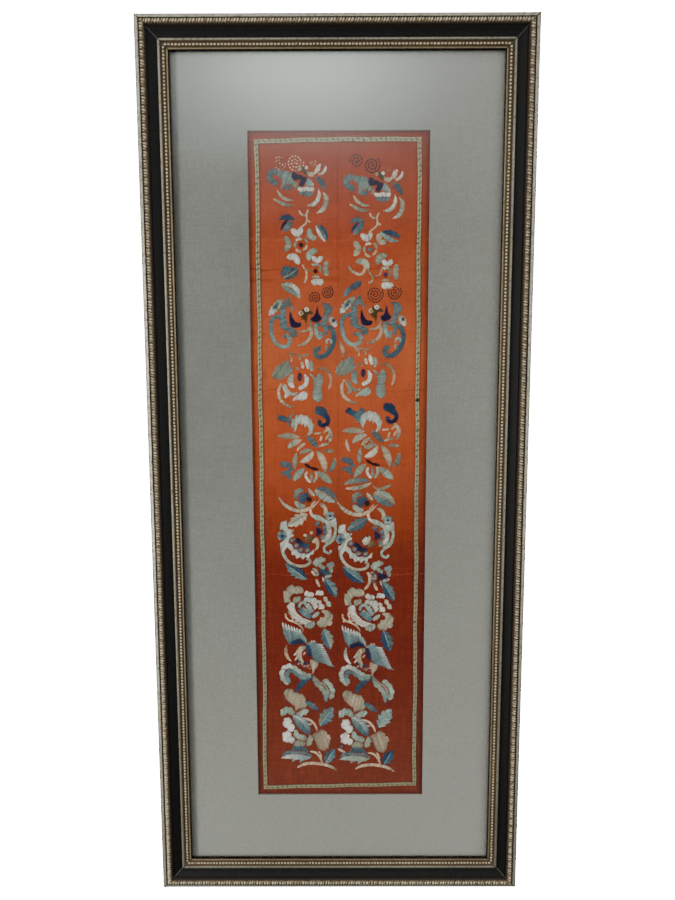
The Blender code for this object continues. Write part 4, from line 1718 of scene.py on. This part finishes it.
# %% Stitch the small blue flower and the long crescent
def small_blue_flower(work):
    lobed_patch(work, [(-47.6, -19.6, 0.5), (-47.8, -13.8, 0.9), (-44, -9.4, 0.9), (-38.4, -9.2, 0.6),
        (-37.4, -12.4), (-41.6, -13.4), (-43, -16.4), (-43.6, -20.2)], 40, "steel sage")
    lobed_patch(work, [(-41, -24.2, 0.8), (-42.4, -19, 0.8), (-38.8, -14.4, 0.6), (-33.6, -13.4, 0.8),
        (-32.4, -17.6), (-35.4, -20.8), (-36.6, -25)], 65, "royal blue")
    lobed_patch(work, [(-47.2, -23, 0.7), (-42.6, -23.2), (-38.4, -26.2, 0.7), (-35.6, -28.4),
        (-38.8, -31, 0.8), (-44.4, -29, 0.8)], 110, "sage pearl")
    spot(work, (-31.6, -20.8), 2.7, "purple")
    blade(work, (-32, -9), (-25.6, -17), 3.8, "sage cream", -0.5, 0.6)
    upper, lower = ("pearl sage", "mist steel") if work["east"] else ("steel", "sage pearl")
    blade(work, (-24, -8.6), (-2.2, -21.8), 6.6, upper, 4, 0.7, teeth=5)
    blade(work, (-25.6, -11.2), (-3.6, -23.4), 8, lower, -1.2, 0.7, teeth=5)
    stroke(work, [(-24.8, -9.8), (-15, -14), (-5, -21.4)], 1.2, "cream tan")
    stroke(work, [(-64, -18.6), (-58.5, -26), (-50, -31.4), (-41, -33.2), (-33, -31.4), (-27, -28),
        (-20.6, -22)], 3.9, "sage cream pink", 0.1, 0)
    stroke(work, [(-29.3, -28.6), (-28, -25.5), (-24.5, -22.4)], 1.2, "pink")


def upper_leaf_pair(work):
    blade(work, (-30, 4.3), (-57, 1), 6.6, "steel sage", -2.6, 0.6, teeth=5)
    blade(work, (-28, 2.5), (-56, -3.5), 4.8, "cream sage pink", 2.2, 0.6, teeth=4)
    stroke(work, [(-26.5, -0.5), (-21, -4.6), (-15, -3.2), (-7, 0)], 3, "tan sage", 0.3, 0.3)


def two_leaves(work):
    upper, lower = ("steel mist", "blue steel") if work["east"] else ("cream sage", "cream white")
    leaf(work, (-33.6, -36.4), (-54.6, -49.4), 12.2, lower, upper, 0.4, 4, "beige")


stitch(small_blue_flower, 62.6, -4.4)
stitch(upper_leaf_pair, 63.6, -5.2, west=False)
stitch(two_leaves, 64.6, -5.2)

# %% [markdown]
# ## White-winged butterfly
#
# The largest butterfly has pale wings with eye spots and rows of small rings, dark shoulders and a tail
# that curls back. The eye spots are worked first as dark discs with lighter rings around them.


# %% Stitch the white-winged butterfly
def eye_spot(work, centre, size, outer, middle, inner):
    spot(work, centre, size * 0.28, inner)
    ring(work, centre, size * 0.52, size * 0.4, middle)
    ring(work, centre, size * 0.88, size * 0.24, outer)


SMALL_RINGS_LEFT = ((-49.8, -65.5), (-45.6, -71.8), (-41.5, -76.8), (-33.8, -77))
SMALL_RINGS_RIGHT = ((-22.8, -47.4), (-15.6, -51.5), (-13.8, -57), (-17, -62.5))
EYE_EDGE = "navy pearl navy pearl navy pearl navy pearl navy"


def white_wing_left(work):
    upper = [(-63.6, -52), (-62.6, -47.6, 0.6), (-59.4, -44.8, 0.5), (-55.6, -44.6), (-55.6, -49.6),
        (-54.2, -53.4), (-48, -53.8), (-50.6, -57.4), (-48.4, -60.6), (-53, -63), (-54, -66.4, -0.7),
        (-50.8, -70.4), (-49.4, -73.4, -0.9), (-44.8, -76), (-43.6, -79, -0.9), (-37.8, -79.6, -0.9),
        (-31, -79.6), (-26.8, -75.4), (-27, -80.8), (-31, -82), (-32.4, -86.4), (-35.8, -83.8),
        (-38.8, -87.2), (-41.4, -84), (-45.8, -86.2), (-47, -82.2), (-51.2, -81.6), (-51.6, -77.2),
        (-55.8, -73.2), (-58.4, -76.4), (-60.6, -83.8), (-63, -77), (-63.4, -69), (-59.8, -66.4),
        (-56.4, -62.6), (-56.4, -58), (-59.4, -54.6), (-63.4, -54)]
    lobed_patch(work, upper, 60, "white pearl", "pearl white")
    eye_spot(work, (-61, -60.5), 5, EYE_EDGE, "mist blue", "navy")
    for centre in SMALL_RINGS_LEFT:
        spot(work, centre, 1.5, "mist sage")
        ring(work, centre, 2.3, 0.8, "tan violet")
    stroke(work, [(-61, -78), (-57.3, -86), (-51.5, -91.5), (-44, -94.2), (-36, -93.8), (-31.3, -90.5),
        (-32, -87), (-35, -86.3)], 3, "pearl cream sage", 0.7, 0.7)


def white_wing_right(work):
    wing = [(-28.6, -39.6), (-25, -37.2), (-20.4, -38.4), (-16, -41), (-12.6, -43.4), (-8.6, -43.8),
        (-5.2, -41), (-3, -41), (-1.6, -47), (-2, -52.4), (-4.8, -51.8), (-7.4, -50.4), (-9, -52.8),
        (-12.6, -51.8), (-13.8, -48.4, -0.8), (-17.6, -47, -0.8), (-19.6, -44.4), (-24, -43.4)]
    lobed_patch(work, wing, 110, "sage pearl", "white pearl")
    stroke(work, [(-11, -50.4), (-9.6, -55.5), (-10.4, -60.5), (-14, -65), (-18.8, -66.8)], 4.6,
        "pearl white sage", 0.9, 0.3, lobes=-5)
    stroke(work, [(-3.4, -50.6), (-3.2, -56), (-5.6, -62.4), (-10, -67.2), (-14.4, -70)], 2.7, "pearl sage",
        0.9, 0.6)
    stroke(work, [(-20.8, -25.5), (-16, -28), (-13.6, -33), (-14.6, -38.5)], 4, "tan cream sage", 0.3, 0.6)
    stroke(work, [(-29.5, -28.5), (-30.3, -33), (-28.5, -38), (-24, -41)], 2.6, "pink white", 0.4, 0.5)
    eye_spot(work, (-9, -38.8), 4.8, EYE_EDGE, "mist pearl", "navy")
    for centre in SMALL_RINGS_RIGHT:
        spot(work, centre, 1.5, "mist steel")
        ring(work, centre, 2.3, 0.8, "tan violet")
    stroke(work, [(-3.2, -58), (-6, -65.5), (-11.5, -69.8), (-15.6, -73.3), (-14.6, -78.2), (-10, -79.8),
        (-7.9, -76.8)], 2.6, "sage pearl", 0.7, 0.8)


def white_butterfly_body(work):
    patch(work, [(-24.6, -51.8), (-22, -51.5), (-19.5, -53.6), (-17.4, -56.5), (-20.5, -59.5), (-24.3, -60.8),
        (-23.6, -56)], 100, "navy")
    stroke(work, [(-45, -63), (-42, -68), (-37.4, -71.2), (-32, -72)], 4.8, "navy" if work["east"]
        else "purple navy royal blue", 0.2, 0.8, lobes=-3)
    if work["east"]:
        patch(work, [(-37, -61), (-33, -56.6), (-29, -56.4), (-28.3, -59.5), (-31, -65), (-34.5, -66.5),
            (-36.8, -64)], 70, "cream white")
        for centre in ((-36.6, -58.6), (-32, -56.4)):
            spot(work, centre, 1, "navy")
        patch(work, [(-29, -62.5), (-24.5, -62), (-22.8, -66), (-27, -69), (-31.5, -67.6)], 60, "olive tan")
        return
    patch(work, [(-34.5, -61), (-29.5, -60.3), (-26.5, -62.5), (-29, -66.5), (-33, -68.6), (-36.4, -66)], 60,
        "olive tan")
    for centre in ((-36.2, -60), (-29.4, -57.3)):
        ring(work, centre, 0.9, 1.1, "cream")
    patch(work, [(-24.8, -62.5), (-21.8, -64), (-21, -70), (-22.4, -75), (-26.5, -77.8), (-24.4, -73),
        (-25, -69.5), (-29, -67.5)], 70, "cream pink")


stitch(white_wing_left, 63.2, -4)
stitch(white_wing_right, 62.4, -5)
stitch(white_butterfly_body, 63, -4.8)


# %% Stitch the blue leaf and the iris
def blue_leaf(work):
    first, second = ("steel mist", "royal") if work["east"] else ("royal blue", "mist steel")
    leaf(work, (-34.6, -109), (-57.4, -91.6), 12.4, second, first, 0.4, 5)


def iris(work):
    blue = "navy" if work["east"] else "blue royal"
    lobed_patch(work, [(-27.6, -92.6, 0.6), (-26.4, -88, 1), (-21.8, -85.4, 1), (-16.6, -85, 1),
        (-14.6, -88.4), (-18, -90.4), (-21.4, -92.8), (-24, -95.6)], 80, "sage pearl")
    lobed_patch(work, [(-13.4, -94, 0.7), (-10.6, -90.8, 0.4), (-5.6, -89.6), (-4.2, -93.4),
        (-6.6, -96.4, 0.8), (-7.6, -102.4), (-10.2, -100.6), (-11, -97)], 50, "sage mist")
    lobed_patch(work, [(-23.2, -92.8), (-20.4, -91.6, 0.5), (-17.2, -94, 0.6), (-14.6, -96.2), (-15.4, -99.4),
        (-19.4, -97.2)], 60, "sage")
    lobed_patch(work, [(-20.4, -98.4, 0.6), (-17.6, -96.8), (-13, -98.8, 0.8), (-10.4, -102.4, 0.6),
        (-11.6, -105.8), (-15.6, -104.6), (-19.2, -102)], 120, blue)
    stroke(work, [(-29.4, -99.5), (-26, -104), (-21.5, -103.8)], 2.4, "cream sage", 0.4, 0.4)
    blade(work, (-28, -96.6), (-22, -102.4), 3.4, "sage", 0.3)
    spot(work, (-18.4, -104.3), 2.1, "purple")
    blade(work, (-15, -107.5), (-7, -105), 3.8, "pearl sage", 0.6, 0.6)
    stroke(work, [(-24, -109), (-23, -113), (-20.5, -117.5)], 2.6, "pink cream", 0.6, 0.2)
    blade(work, (-17.6, -106.5), (-16, -111.8), 1.8, "cream", 0)
    leaf(work, (-15, -107.8), (-2.8, -129), 11.2, "steel mist", "blue royal blue", 0.6, 4)


def small_bud(work):
    stroke(work, [(31.5, -101.5), (33.5, -105.5), (33.8, -112), (31.5, -117), (27.8, -121)], 2.8,
        "cream pink", 0.7, 0.3)
    spot(work, (37.8, -103.5), 1.7, "violet")
    blade(work, (35.5, -106.5), (40, -117.2), 4.4, "violet tan", 0.3)


stitch(blue_leaf, 62, -3.8)
stitch(iris, 63, -4.4)
stitch(small_bud, 0, 0, west=False)

# %% [markdown]
# ## Peony, crane and tail
#
# A full peony with a striped heart, and under it a crane seen from above, its wing tips feathered with
# small strokes and its long tail curling into scrolls.


# %% Stitch the peony
PEONY_PETALS = (
    # outline of each petal, the lie of its threads and its tones
    (((-59.2, -135.4), (-60.4, -129), (-60.6, -122.4), (-56.2, -121.6, 1), (-55.4, -118, 2),
         (-47.6, -117.6, 1.4), (-39.2, -119.4, 0.5), (-39, -124.6), (-45, -126), (-49.6, -125.2),
         (-53, -128.6), (-53.2, -132), (-51.6, -135.2)), 125, "cream sage", "sage cream"),
    (((-49.8, -131.4, 0.9), (-45.6, -129.2, 0.9), (-41.2, -129.6), (-42, -133.2), (-44.8, -135),
         (-47, -136.4), (-49.8, -134.8)), 70, "sage", None),
    (((-37.6, -127), (-36.6, -123, 1), (-32.6, -124, 0.9), (-27.2, -125.8, 0.3), (-28.2, -128.6),
         (-33, -129.2)), 80, "white", None),
    (((-25.4, -126.8), (-24.4, -122.8, 0.9), (-20, -122.4, 0.9), (-16.2, -124.6, 0.3), (-17, -127.4)), 85,
         "white", None),
    (((-16.4, -129.2, 0.4), (-12.4, -129.8), (-11.6, -133.8, 0.9), (-8.6, -137.4, 0.9), (-10.4, -140),
         (-13.2, -139.4), (-13.6, -135.4), (-16.2, -133.4)), 30, "pearl cream", None),
    (((-22.4, -132.8, 0.3), (-19.2, -133.4), (-18.4, -137.6, 0.9), (-15.8, -140.4, 0.4), (-17, -142.8),
         (-22.2, -142.8), (-21.4, -139), (-22.6, -136)), 25, "white cream", None),
    (((-38.8, -134.8), (-37.6, -131, 1), (-33, -129.8), (-28, -130, 0.6), (-24, -131.4, 1),
         (-24.4, -137, 1), (-23.6, -141.4), (-26.8, -144), (-28.6, -139.2), (-31, -135.6), (-34.4, -134.2)),
         75, "white pearl", None),
    (((-48.4, -136.8), (-48, -142), (-45.8, -147.2), (-40, -152.6), (-33.4, -155.4), (-29.8, -156.6),
         (-33, -160, 0.9), (-38.4, -159.8, 1.1), (-43.8, -157.4, 1.3), (-48.4, -154, 1.3), (-53, -149.4, 1.4),
         (-55, -143, 1.5), (-54.8, -136.6, 1.2)), 150, "white", "white cream"),
    (((-27.6, -156.2, 1), (-27.4, -162.6, 1.2), (-34.8, -164.2, 1), (-37.2, -160.4), (-33, -159.4)), 100,
         "pearl sage", None),
    (((-19.2, -145.6, 0.8), (-14, -144.4, 1), (-8.8, -147, 1.2), (-7, -153, 0.8), (-8.8, -155, 1.2),
         (-8.4, -160.6, 0.8), (-13.4, -160.6, 1.2), (-17.6, -164, 1.4), (-24.2, -158.4, 0.4), (-21, -155.6),
         (-20.4, -152.6), (-15.6, -151.8), (-15.6, -148)), 60, "cream sage", "sage cream"),
)
HEART_STRIPES = (
    # lines across the blue heart, their width, tones and scallops
    (((-43.4, -141.4), (-42.6, -137.4), (-39, -135.2), (-36, -136.8), (-36.4, -139.4)), 2.8,
         "mist pearl mist", 0),
    (((-35.6, -137.4), (-32.4, -141.4), (-29.6, -147)), 4.2, "pearl mist", 3),
    (((-40.6, -142), (-36.4, -143.8), (-32.4, -148.8)), 2, "sage mist", 3),
    (((-42.8, -143), (-38.6, -147), (-34, -150.4), (-30, -151.6)), 5.2, "blue mist blue", 4),
)


def peony(work):
    for outline, angle, near, far in PEONY_PETALS:
        lobed_patch(work, outline, angle, near, far)
    for points, width, tones, lobes in HEART_STRIPES:
        stroke(work, points, width, tones, 0.7, 0.6, lobes=lobes)
    blade(work, (-29, -152.4), (-21.4, -146.4), 4.4, "pearl", 0, 0.55)


def cream_spray(work):
    stroke(work, [(-58.3, -147.5), (-57.8, -152), (-54.5, -155.4), (-47.5, -158.3), (-42.3, -162),
        (-39.5, -166), (-40, -170.5)], 1.8, "pink cream tan", 0.7, 0.3)
    stroke(work, [(-50.8, -151.5), (-50.4, -156.3)], 1.2, "pink", 0.8, 0.6)
    stroke(work, [(-45, -158.8), (-40.2, -160.3)], 1.2, "tan", 0.8, 0.6)
    if work["east"]:
        stroke(work, [(-58, -156), (-52.5, -155.5), (-48, -156.3)], 1.8, "cream", 0.5, 0.7)
        stroke(work, [(-50.8, -151.5), (-52, -147.5), (-49.5, -143.5)], 1.8, "pink cream", 0.8, 0.4)


stitch(peony, 66.6, -3.2)
stitch(cream_spray, 62.6, -1)


# %% Stitch the crane
def feathered_edge(work, start, end, count, length, angle, tones):
    """A row of short fine strokes that break up the edge of a wing."""
    turn = math.radians(angle)
    tip = np.array([math.cos(turn), math.sin(turn)]) * length
    for share in (np.arange(count) + 0.5) / count:
        root = np.array(start) * (1 - share) + np.array(end) * share
        tone = floss(tones, work["dice"].random())
        work["threads"].append((root - tip * 0.3, root + tip, tone, tone, 1, 0))


def crane_wings(work):
    blue = "navy" if work["east"] else "royal navy"
    left = [(-61.2, -157.6), (-59.4, -162.5), (-57, -166), (-55.4, -163), (-54, -166.4), (-52.4, -163.2),
        (-51.2, -166.8), (-49.6, -163.8), (-48.4, -167.2), (-46.6, -164.4), (-45.4, -167.8), (-43.6, -165.4),
        (-42.4, -169), (-39, -171.6), (-36.2, -176.4), (-35, -182), (-38.6, -181), (-42, -177.2), (-46, -178),
        (-51, -180.8), (-54.4, -183.4), (-57.6, -179), (-60.4, -172), (-61.6, -165)]
    patch(work, left, 100, "mist steel mist", "pearl mist", False)
    for share in np.arange(7) / 6:
        root = np.array([-59.2, -166.8]) * (1 - share) + np.array([-40.6, -173.4]) * share
        blade(work, root, root + np.array([-2.3, 8.8 - 1 * share]), 1.7, "mist white white", 0.5, 0.6)
    stroke(work, [(-52.6, -182.6), (-48.5, -181), (-44, -179.4), (-38, -181.4)], 4.4, blue, 0.8, 0.6, lobes=4)
    right = [(-36, -182.6), (-31.5, -179.8), (-26, -180), (-21.6, -183), (-18.6, -184.4), (-18.4, -187),
        (-15.6, -187.6), (-16, -190.2), (-13.2, -191), (-13.8, -193.6), (-11.2, -194.6), (-12, -197.2),
        (-9.6, -198.6), (-10.6, -201), (-8.2, -202.4), (-9, -205), (-4.2, -209.2), (-9.5, -208.6),
        (-16.5, -205.4), (-22, -203.8), (-27, -202.2), (-30.4, -197), (-31.2, -190.5), (-33, -185)]
    patch(work, right, 35, "mist steel mist", "steel mist", False)
    for share in np.arange(10) / 9:
        root = np.array([-26, -183.6]) * (1 - share) + np.array([-15.6, -204.2]) * share
        blade(work, root, root + np.array([8.6, -0.6 - 2.6 * share]), 1.6, "mist white white", 0.4, 0.6)
    feathered_edge(work, (-31.5, -180), (-26, -180.2), 3, 1.8, 60, "pink cream")
    stroke(work, [(-35.2, -184), (-33.6, -188.6), (-32.6, -193), (-31.6, -197.6)], 4.4, blue, 0.6, 0.2,
        lobes=4)


def crane_head(work):
    neck = [(-37, -185), (-41, -184.8), (-45, -187.4), (-47.6, -191.8), (-47.3, -197), (-44.6, -200.5),
        (-43, -204), (-40.4, -208.2), (-38.3, -204), (-40.3, -199.5), (-41, -195), (-40, -190.6),
        (-36.8, -188)]
    patch(work, neck, 115, "beige cream beige")
    stroke(work, [(-36.8, -192.2), (-39.3, -195.2)], 1.5, "pink", 0.8, 0.6)
    for start, tip in (((-45.6, -190.2), (-49.6, -195.4)), ((-45.4, -195.4), (-48.6, -201.2)),
            ((-42.6, -199.4), (-45.2, -206.2))):
        blade(work, start, tip, 1.6, "cream white", 0.6, 0.6)
    spot(work, (-44, -202.8), 1.8, "violet navy")
    spot(work, (-37.3, -204.8), 1.9, "violet navy")
    blade(work, (-57.3, -183.5), (-52.4, -202.6), 3.8, "sage white" if work["east"] else "tan pink", -3.4,
        0.7)
    patch(work, [(-31, -200.5), (-27, -201.8), (-22.8, -204), (-24, -209.5), (-27, -212.8), (-28.8, -218),
        (-29.6, -212), (-31.5, -206)], 85, "beige cream beige")
    for number in range(5):
        feathered_edge(work, (-39 + number * 1.7, -208.5 + 0.6 * number), (-38.6 + number * 1.7,
            -209 - number), 2, 1.4, 60, "pink brown")


def crane_leaf(work):
    first, second = ("royal", "blue steel") if work["east"] else ("steel blue", "mist sage")
    leaf(work, (-16.6, -165), (-9.6, -188.4), 12.6, second, first, 0.4, 4)


stitch(crane_wings, 65.6, -3.6)
stitch(crane_head, 65.8, -3.2)
stitch(crane_leaf, 65.8, -2.4)


# %% Stitch the tail scrolls
def tail_scrolls(work):
    stroke(work, [(-30, -217.6), (-36, -218.3), (-43, -215.6), (-48.5, -211.2), (-54.5, -208.3),
        (-60.5, -210.8), (-63, -217.5), (-60.7, -224.5), (-56.2, -229.8)], 4.2, "sage pearl white pearl sage",
        0.2, 0.4, lobes=-9)
    stroke(work, [(-31, -219.5), (-38, -222), (-44.5, -218.5), (-50, -214), (-55, -213.3), (-58, -217.5),
        (-57.3, -223), (-54.6, -227.5)], 4, "pearl mist steel mist", 0.4, 0.6, lobes=6)
    blade(work, (-29.5, -220.5), (-47, -238.5), 7, "blue royal", -3, 0.6, teeth=4)
    stroke(work, [(-28, -219), (-25, -227), (-19, -233.5), (-14.5, -241), (-14.2, -249.5)], 4.4,
        "steel sage mist", 0.3, 0.3, lobes=-5)
    stroke(work, [(-28, -219.5), (-22, -226.5), (-16, -230), (-12, -237), (-11.4, -244)], 2.4, "tan sage",
        0.3, 0.4)
    stroke(work, [(-17.6, -224.5), (-12.5, -227.5), (-8.3, -234), (-7.4, -240.5), (-10.4, -246.6)], 4.2,
        "sage pearl sage", 0.6, 0.4, lobes=4)


stitch(tail_scrolls, 66, -1.2)

# %% [markdown]
# ## The lower peony and the ground
#
# The spray grows from a leafy base and a curved line that stands for the ground.

# %% Stitch the lower peony
LOWER_PETALS = (
    # outline of each petal, the lie of its threads and its tones
    (((-60.8, -241.6, 0.8), (-59.6, -236.4, 1), (-54.4, -234.8, 1.2), (-50, -239, 1.2),
         (-44.4, -240.4, 1.2), (-38.4, -243.4, 0.8), (-37.6, -250, 0.8), (-36.4, -255, 0.6), (-40, -257.6),
         (-45, -258.8), (-48.6, -260.6), (-49, -255.8), (-54.2, -251.2), (-59.2, -246.6)), 75,
         "beige cream beige", "cream beige"),
    (((-65, -262, 1.2), (-62, -257.4, 1.2), (-56, -256.2, 1.2), (-51, -259.2, 0.8), (-49.2, -264.2),
         (-52.4, -265.8), (-56.6, -263.6, -0.6), (-60, -265.8), (-63.8, -266.6, 0.6)), 80, "sage pearl",
         None),
    (((-47.8, -263.2), (-43.6, -260.4), (-40.6, -258.4), (-35.2, -258.2, 1.2), (-35.2, -262.8, 1.2),
         (-40, -265, 1.2), (-44.8, -266.2, 0.8)), 60, "pearl sage", None),
    (((-61.8, -278.6, 1), (-61.6, -272, 1.2), (-57.8, -268.8, 1), (-53.8, -270.4, 0.8), (-53.2, -275),
         (-50.4, -276.6, 0.8), (-50.8, -282.8, 0.8), (-55, -284.2, 0.6), (-57.6, -281.2)), 20, "white", None),
    (((-63.2, -295.8), (-63.2, -290, 1.2), (-60, -285.4, 1.2), (-54.6, -285.2, 0.8), (-53.8, -290.4, 0.6),
         (-49.2, -294.2), (-51.8, -298.6, 0.8), (-56, -296.8, 0.8), (-60.4, -296.8)), 55, "white", None),
    (((-51.2, -288), (-49.6, -283, 0.8), (-46, -284.8), (-44.6, -287.6), (-38.8, -289), (-36.4, -291, 0.6),
         (-38, -295.2, 0.8), (-43, -294.2, 0.8), (-48, -291.8, 0.6)), 60, "sage pearl", None),
    (((-50.8, -300.2), (-48.8, -295.8), (-45.4, -294.6), (-40.6, -296.2), (-38, -297.2), (-38.4, -301.6, 0.8),
         (-42.6, -302.6, 0.8), (-46.4, -303, 0.9)), 90, "beige sage", None),
    (((-33, -288.8, 0.6), (-29.2, -291.6, 0.8), (-30.4, -296.4, 0.8), (-32.4, -301.2, 0.6),
         (-36.6, -301.6, 0.4), (-36, -296)), 60, "sage", None),
    (((-30, -288), (-25, -285), (-21, -282.6, 0.8), (-15.2, -284.4, 0.8), (-13.8, -288.4, 1),
         (-10.2, -291, 1), (-11, -296.6, 1), (-11.8, -301.2, 1), (-13.6, -306, 1), (-20, -307, 0.8),
         (-24.6, -301.8), (-26.8, -295)), 110, "beige cream beige", "cream beige"),
)


def lower_peony(work):
    for outline, angle, near, far in LOWER_PETALS:
        lobed_patch(work, outline, angle, near, far)
    blade(work, (-38.4, -249), (-22.5, -260), 6.4, "blue steel royal", 0.6, 0.8, teeth=3)
    blade(work, (-51.4, -266), (-33.6, -288), 13.4, "white pearl steel", 2.2, 0.6, "blue steel blue", 0.06,
        "pearl mist blue")
    stroke(work, [(-41, -269.3), (-35, -270), (-29.5, -273.5), (-25.8, -279), (-24.6, -283.5)], 2.2,
        "pink cream pink", 0.3, 0.3)
    stroke(work, [(-35.4, -276.4), (-30, -275.8)], 2, "cream", 0.2, 0.8)
    first, second = ("mist pearl", "pearl mist") if work["east"] else ("sage steel", "blue mist")
    leaf(work, (-20.8, -278), (-6.8, -256.6), 14.6, first, second, 0.4, 4)


# %% Stitch the base leaf and the ground line
def base_leaf(work):
    pale = "sage pearl" if work["east"] else "mist white"
    mound = [(-53.4, -307.2), (-52, -303.4, 0.8), (-46, -301.8, 0.8), (-40, -303.2, 0.8), (-36, -306.4),
        (-33.6, -309.2), (-41, -307.4), (-48, -307.8)]
    lobed_patch(work, mound, 90, "steel blue steel")
    middle = [(-64, -313.8), (-62.2, -309.4, 0.6), (-55, -307.8), (-47, -308.8), (-38, -308.6), (-31, -312.2),
        (-30.4, -314.6), (-38, -311.6), (-46, -310.6), (-55, -311)]
    lobed_patch(work, middle, 80, "steel mist steel")
    fringe = [(-65.2, -316.2), (-60, -312.8), (-50, -311.4), (-40, -312.2), (-30.8, -315.2), (-34.6, -317.8),
        (-40, -319.2), (-44.2, -321.8), (-43.8, -318.4), (-48, -318.4), (-52.8, -321), (-51.8, -317.6),
        (-57, -317.2)]
    patch(work, fringe, 75, pale, None, False)
    stroke(work, [(-32.6, -308.3), (-27.4, -309.3), (-23, -313.2), (-20, -318.5), (-19, -323.5)], 1.9,
        "pink cream tan", 0.4, 0.6)
    stroke(work, [(-23, -308), (-20.6, -312.4), (-20, -316.4)], 1.4, "pink", 0.4, 0.4)
    near, far = ("royal", "blue royal") if work["east"] else ("steel blue", "mist blue")
    leaf(work, (-15, -322.4), (-5.2, -306), 11.4, near, far, 0.3, 3)
    stroke(work, [(-47, -327.5), (-40, -324), (-31, -322.6), (-22, -323.2), (-13, -325.2), (-6.5, -328.2),
        (-3, -331)], 3.3, "pink cream pink cream tan", 0.35, 0.3)


def seam_leaves(work):
    spot(work, (3.8, -303), 2, "violet steel")
    blade(work, (-1.2, -305), (6.8, -309.3), 2.6, "cream pink", -0.4)
    blade(work, (1.4, 148), (5.4, 130.5), 3.8, "tan cream tan", 1.2)


stitch(lower_peony, 65.2, -2)
stitch(base_leaf, 65.4, -1.9)
stitch(seam_leaves, 0, 0, west=False)

# %% [markdown]
# ## Floor and light
#
# The picture hangs above a plain white floor. Soft light comes from all around, with more from the
# left, and a bright patch high in front of the glass gives it the pale veil of the photo's top.

# %% Lay the floor
FLOOR_BELOW = 0.35
FLOOR_SIZE = 12.0
WHITE_GLOW = 40.0


def make_floor_finish():
    material, shader, place = new_material("white_floor")
    soft = noise(place, 2.0, 3.0)
    connect(shader, base_color=blend(soft, srgb(70, 70, 70), srgb(78, 78, 78)))
    connect(shader, roughness=0.9)
    tree = place.tree
    seen = add_node("LightPath", {}, tree)["Is Camera Ray"]
    glow = add_node("Emission", {"Color": (1, 1, 1, 1), "Strength": WHITE_GLOW}, tree)[0]
    mixed = add_node("MixShader", {0: seen, 1: Value(tree, shader.outputs[0]), 2: glow})[0]
    fill(tree.nodes["Material Output"].inputs["Surface"], mixed)
    return material


deselect()
bpy.ops.mesh.primitive_plane_add(size=FLOOR_SIZE, location=(0, 0, cad_low.z - FLOOR_BELOW))
floor = start_piece("studio_floor")
floor.data.materials.append(make_floor_finish())

# %% Light the picture
ROOM_LIGHT = 0.9
DARK_ROOM = 0.06
VEIL_LIGHT = 2.6


def make_room_light():
    world = bpy.data.worlds.new("soft_room")
    world.use_nodes = True
    tree = world.node_tree
    shell = tree.nodes["Background"]
    direction = add_node("TexCoord", {}, tree)["Generated"]
    parts = axes(direction)
    aside = abs(parts[0])
    front = remap(parts[1], -0.35, -0.15, 1.0, 0.0)
    low = remap(parts[2], 0.2, 0.5, 1.0, 0.0)
    narrow = remap(aside, 0.28, 0.55, 1.0, 0.0)
    dark = low * narrow * front
    room = dark * (DARK_ROOM - ROOM_LIGHT) + ROOM_LIGHT
    rising = ramp(parts[2], [(0.17, (0, 0, 0, 1)), (0.235, (0.09, 0.09, 0.09, 1)), (0.28, (0.2, 0.2, 0.2, 1)),
        (0.32, (0.5, 0.5, 0.5, 1)), (0.37, (1, 1, 1, 1)), (0.55, (1, 1, 1, 1)), (0.8, (0.3, 0.3, 0.3, 1))])
    off_middle = (parts[0] + 0.037) / 0.15
    spread = bell(off_middle)
    veil = rising * spread * front
    strength = veil * VEIL_LIGHT + room
    seen = add_node("LightPath", {}, tree)["Is Camera Ray"]
    shown = add_node("Mix", {0: seen, 2: strength, 3: WHITE_GLOW})[0]
    shell.inputs[0].default_value = (1.0, 1.0, 1.0, 1.0)
    fill(shell.inputs[1], shown)
    bpy.context.scene.world = world


def add_soft_light(name, place, energy, width, height, colour):
    light = bpy.data.lights.new(name, "AREA")
    light.shape = "RECTANGLE"
    light.size = width
    light.size_y = height
    light.energy = energy
    light.color = colour
    lamp = bpy.data.objects.new(name, light)
    lamp.location = place
    aim = Vector((0, 0, CENTRE_Z)) - lamp.location
    lamp.rotation_euler = aim.to_track_quat("-Z", "Y").to_euler()
    bpy.context.scene.collection.objects.link(lamp)


make_room_light()
add_soft_light("window_left", Vector((-1.5, -1.1, CENTRE_Z - 0.1)), 26, 0.5, 1.4, (1.0, 0.985, 0.955))
add_soft_light("window_right", Vector((1.6, -1.3, CENTRE_Z - 0.2)), 16, 1.1, 1.7, (1.0, 0.99, 0.97))
print("floor", FLOOR_BELOW, "m below the picture; light from the left and from above")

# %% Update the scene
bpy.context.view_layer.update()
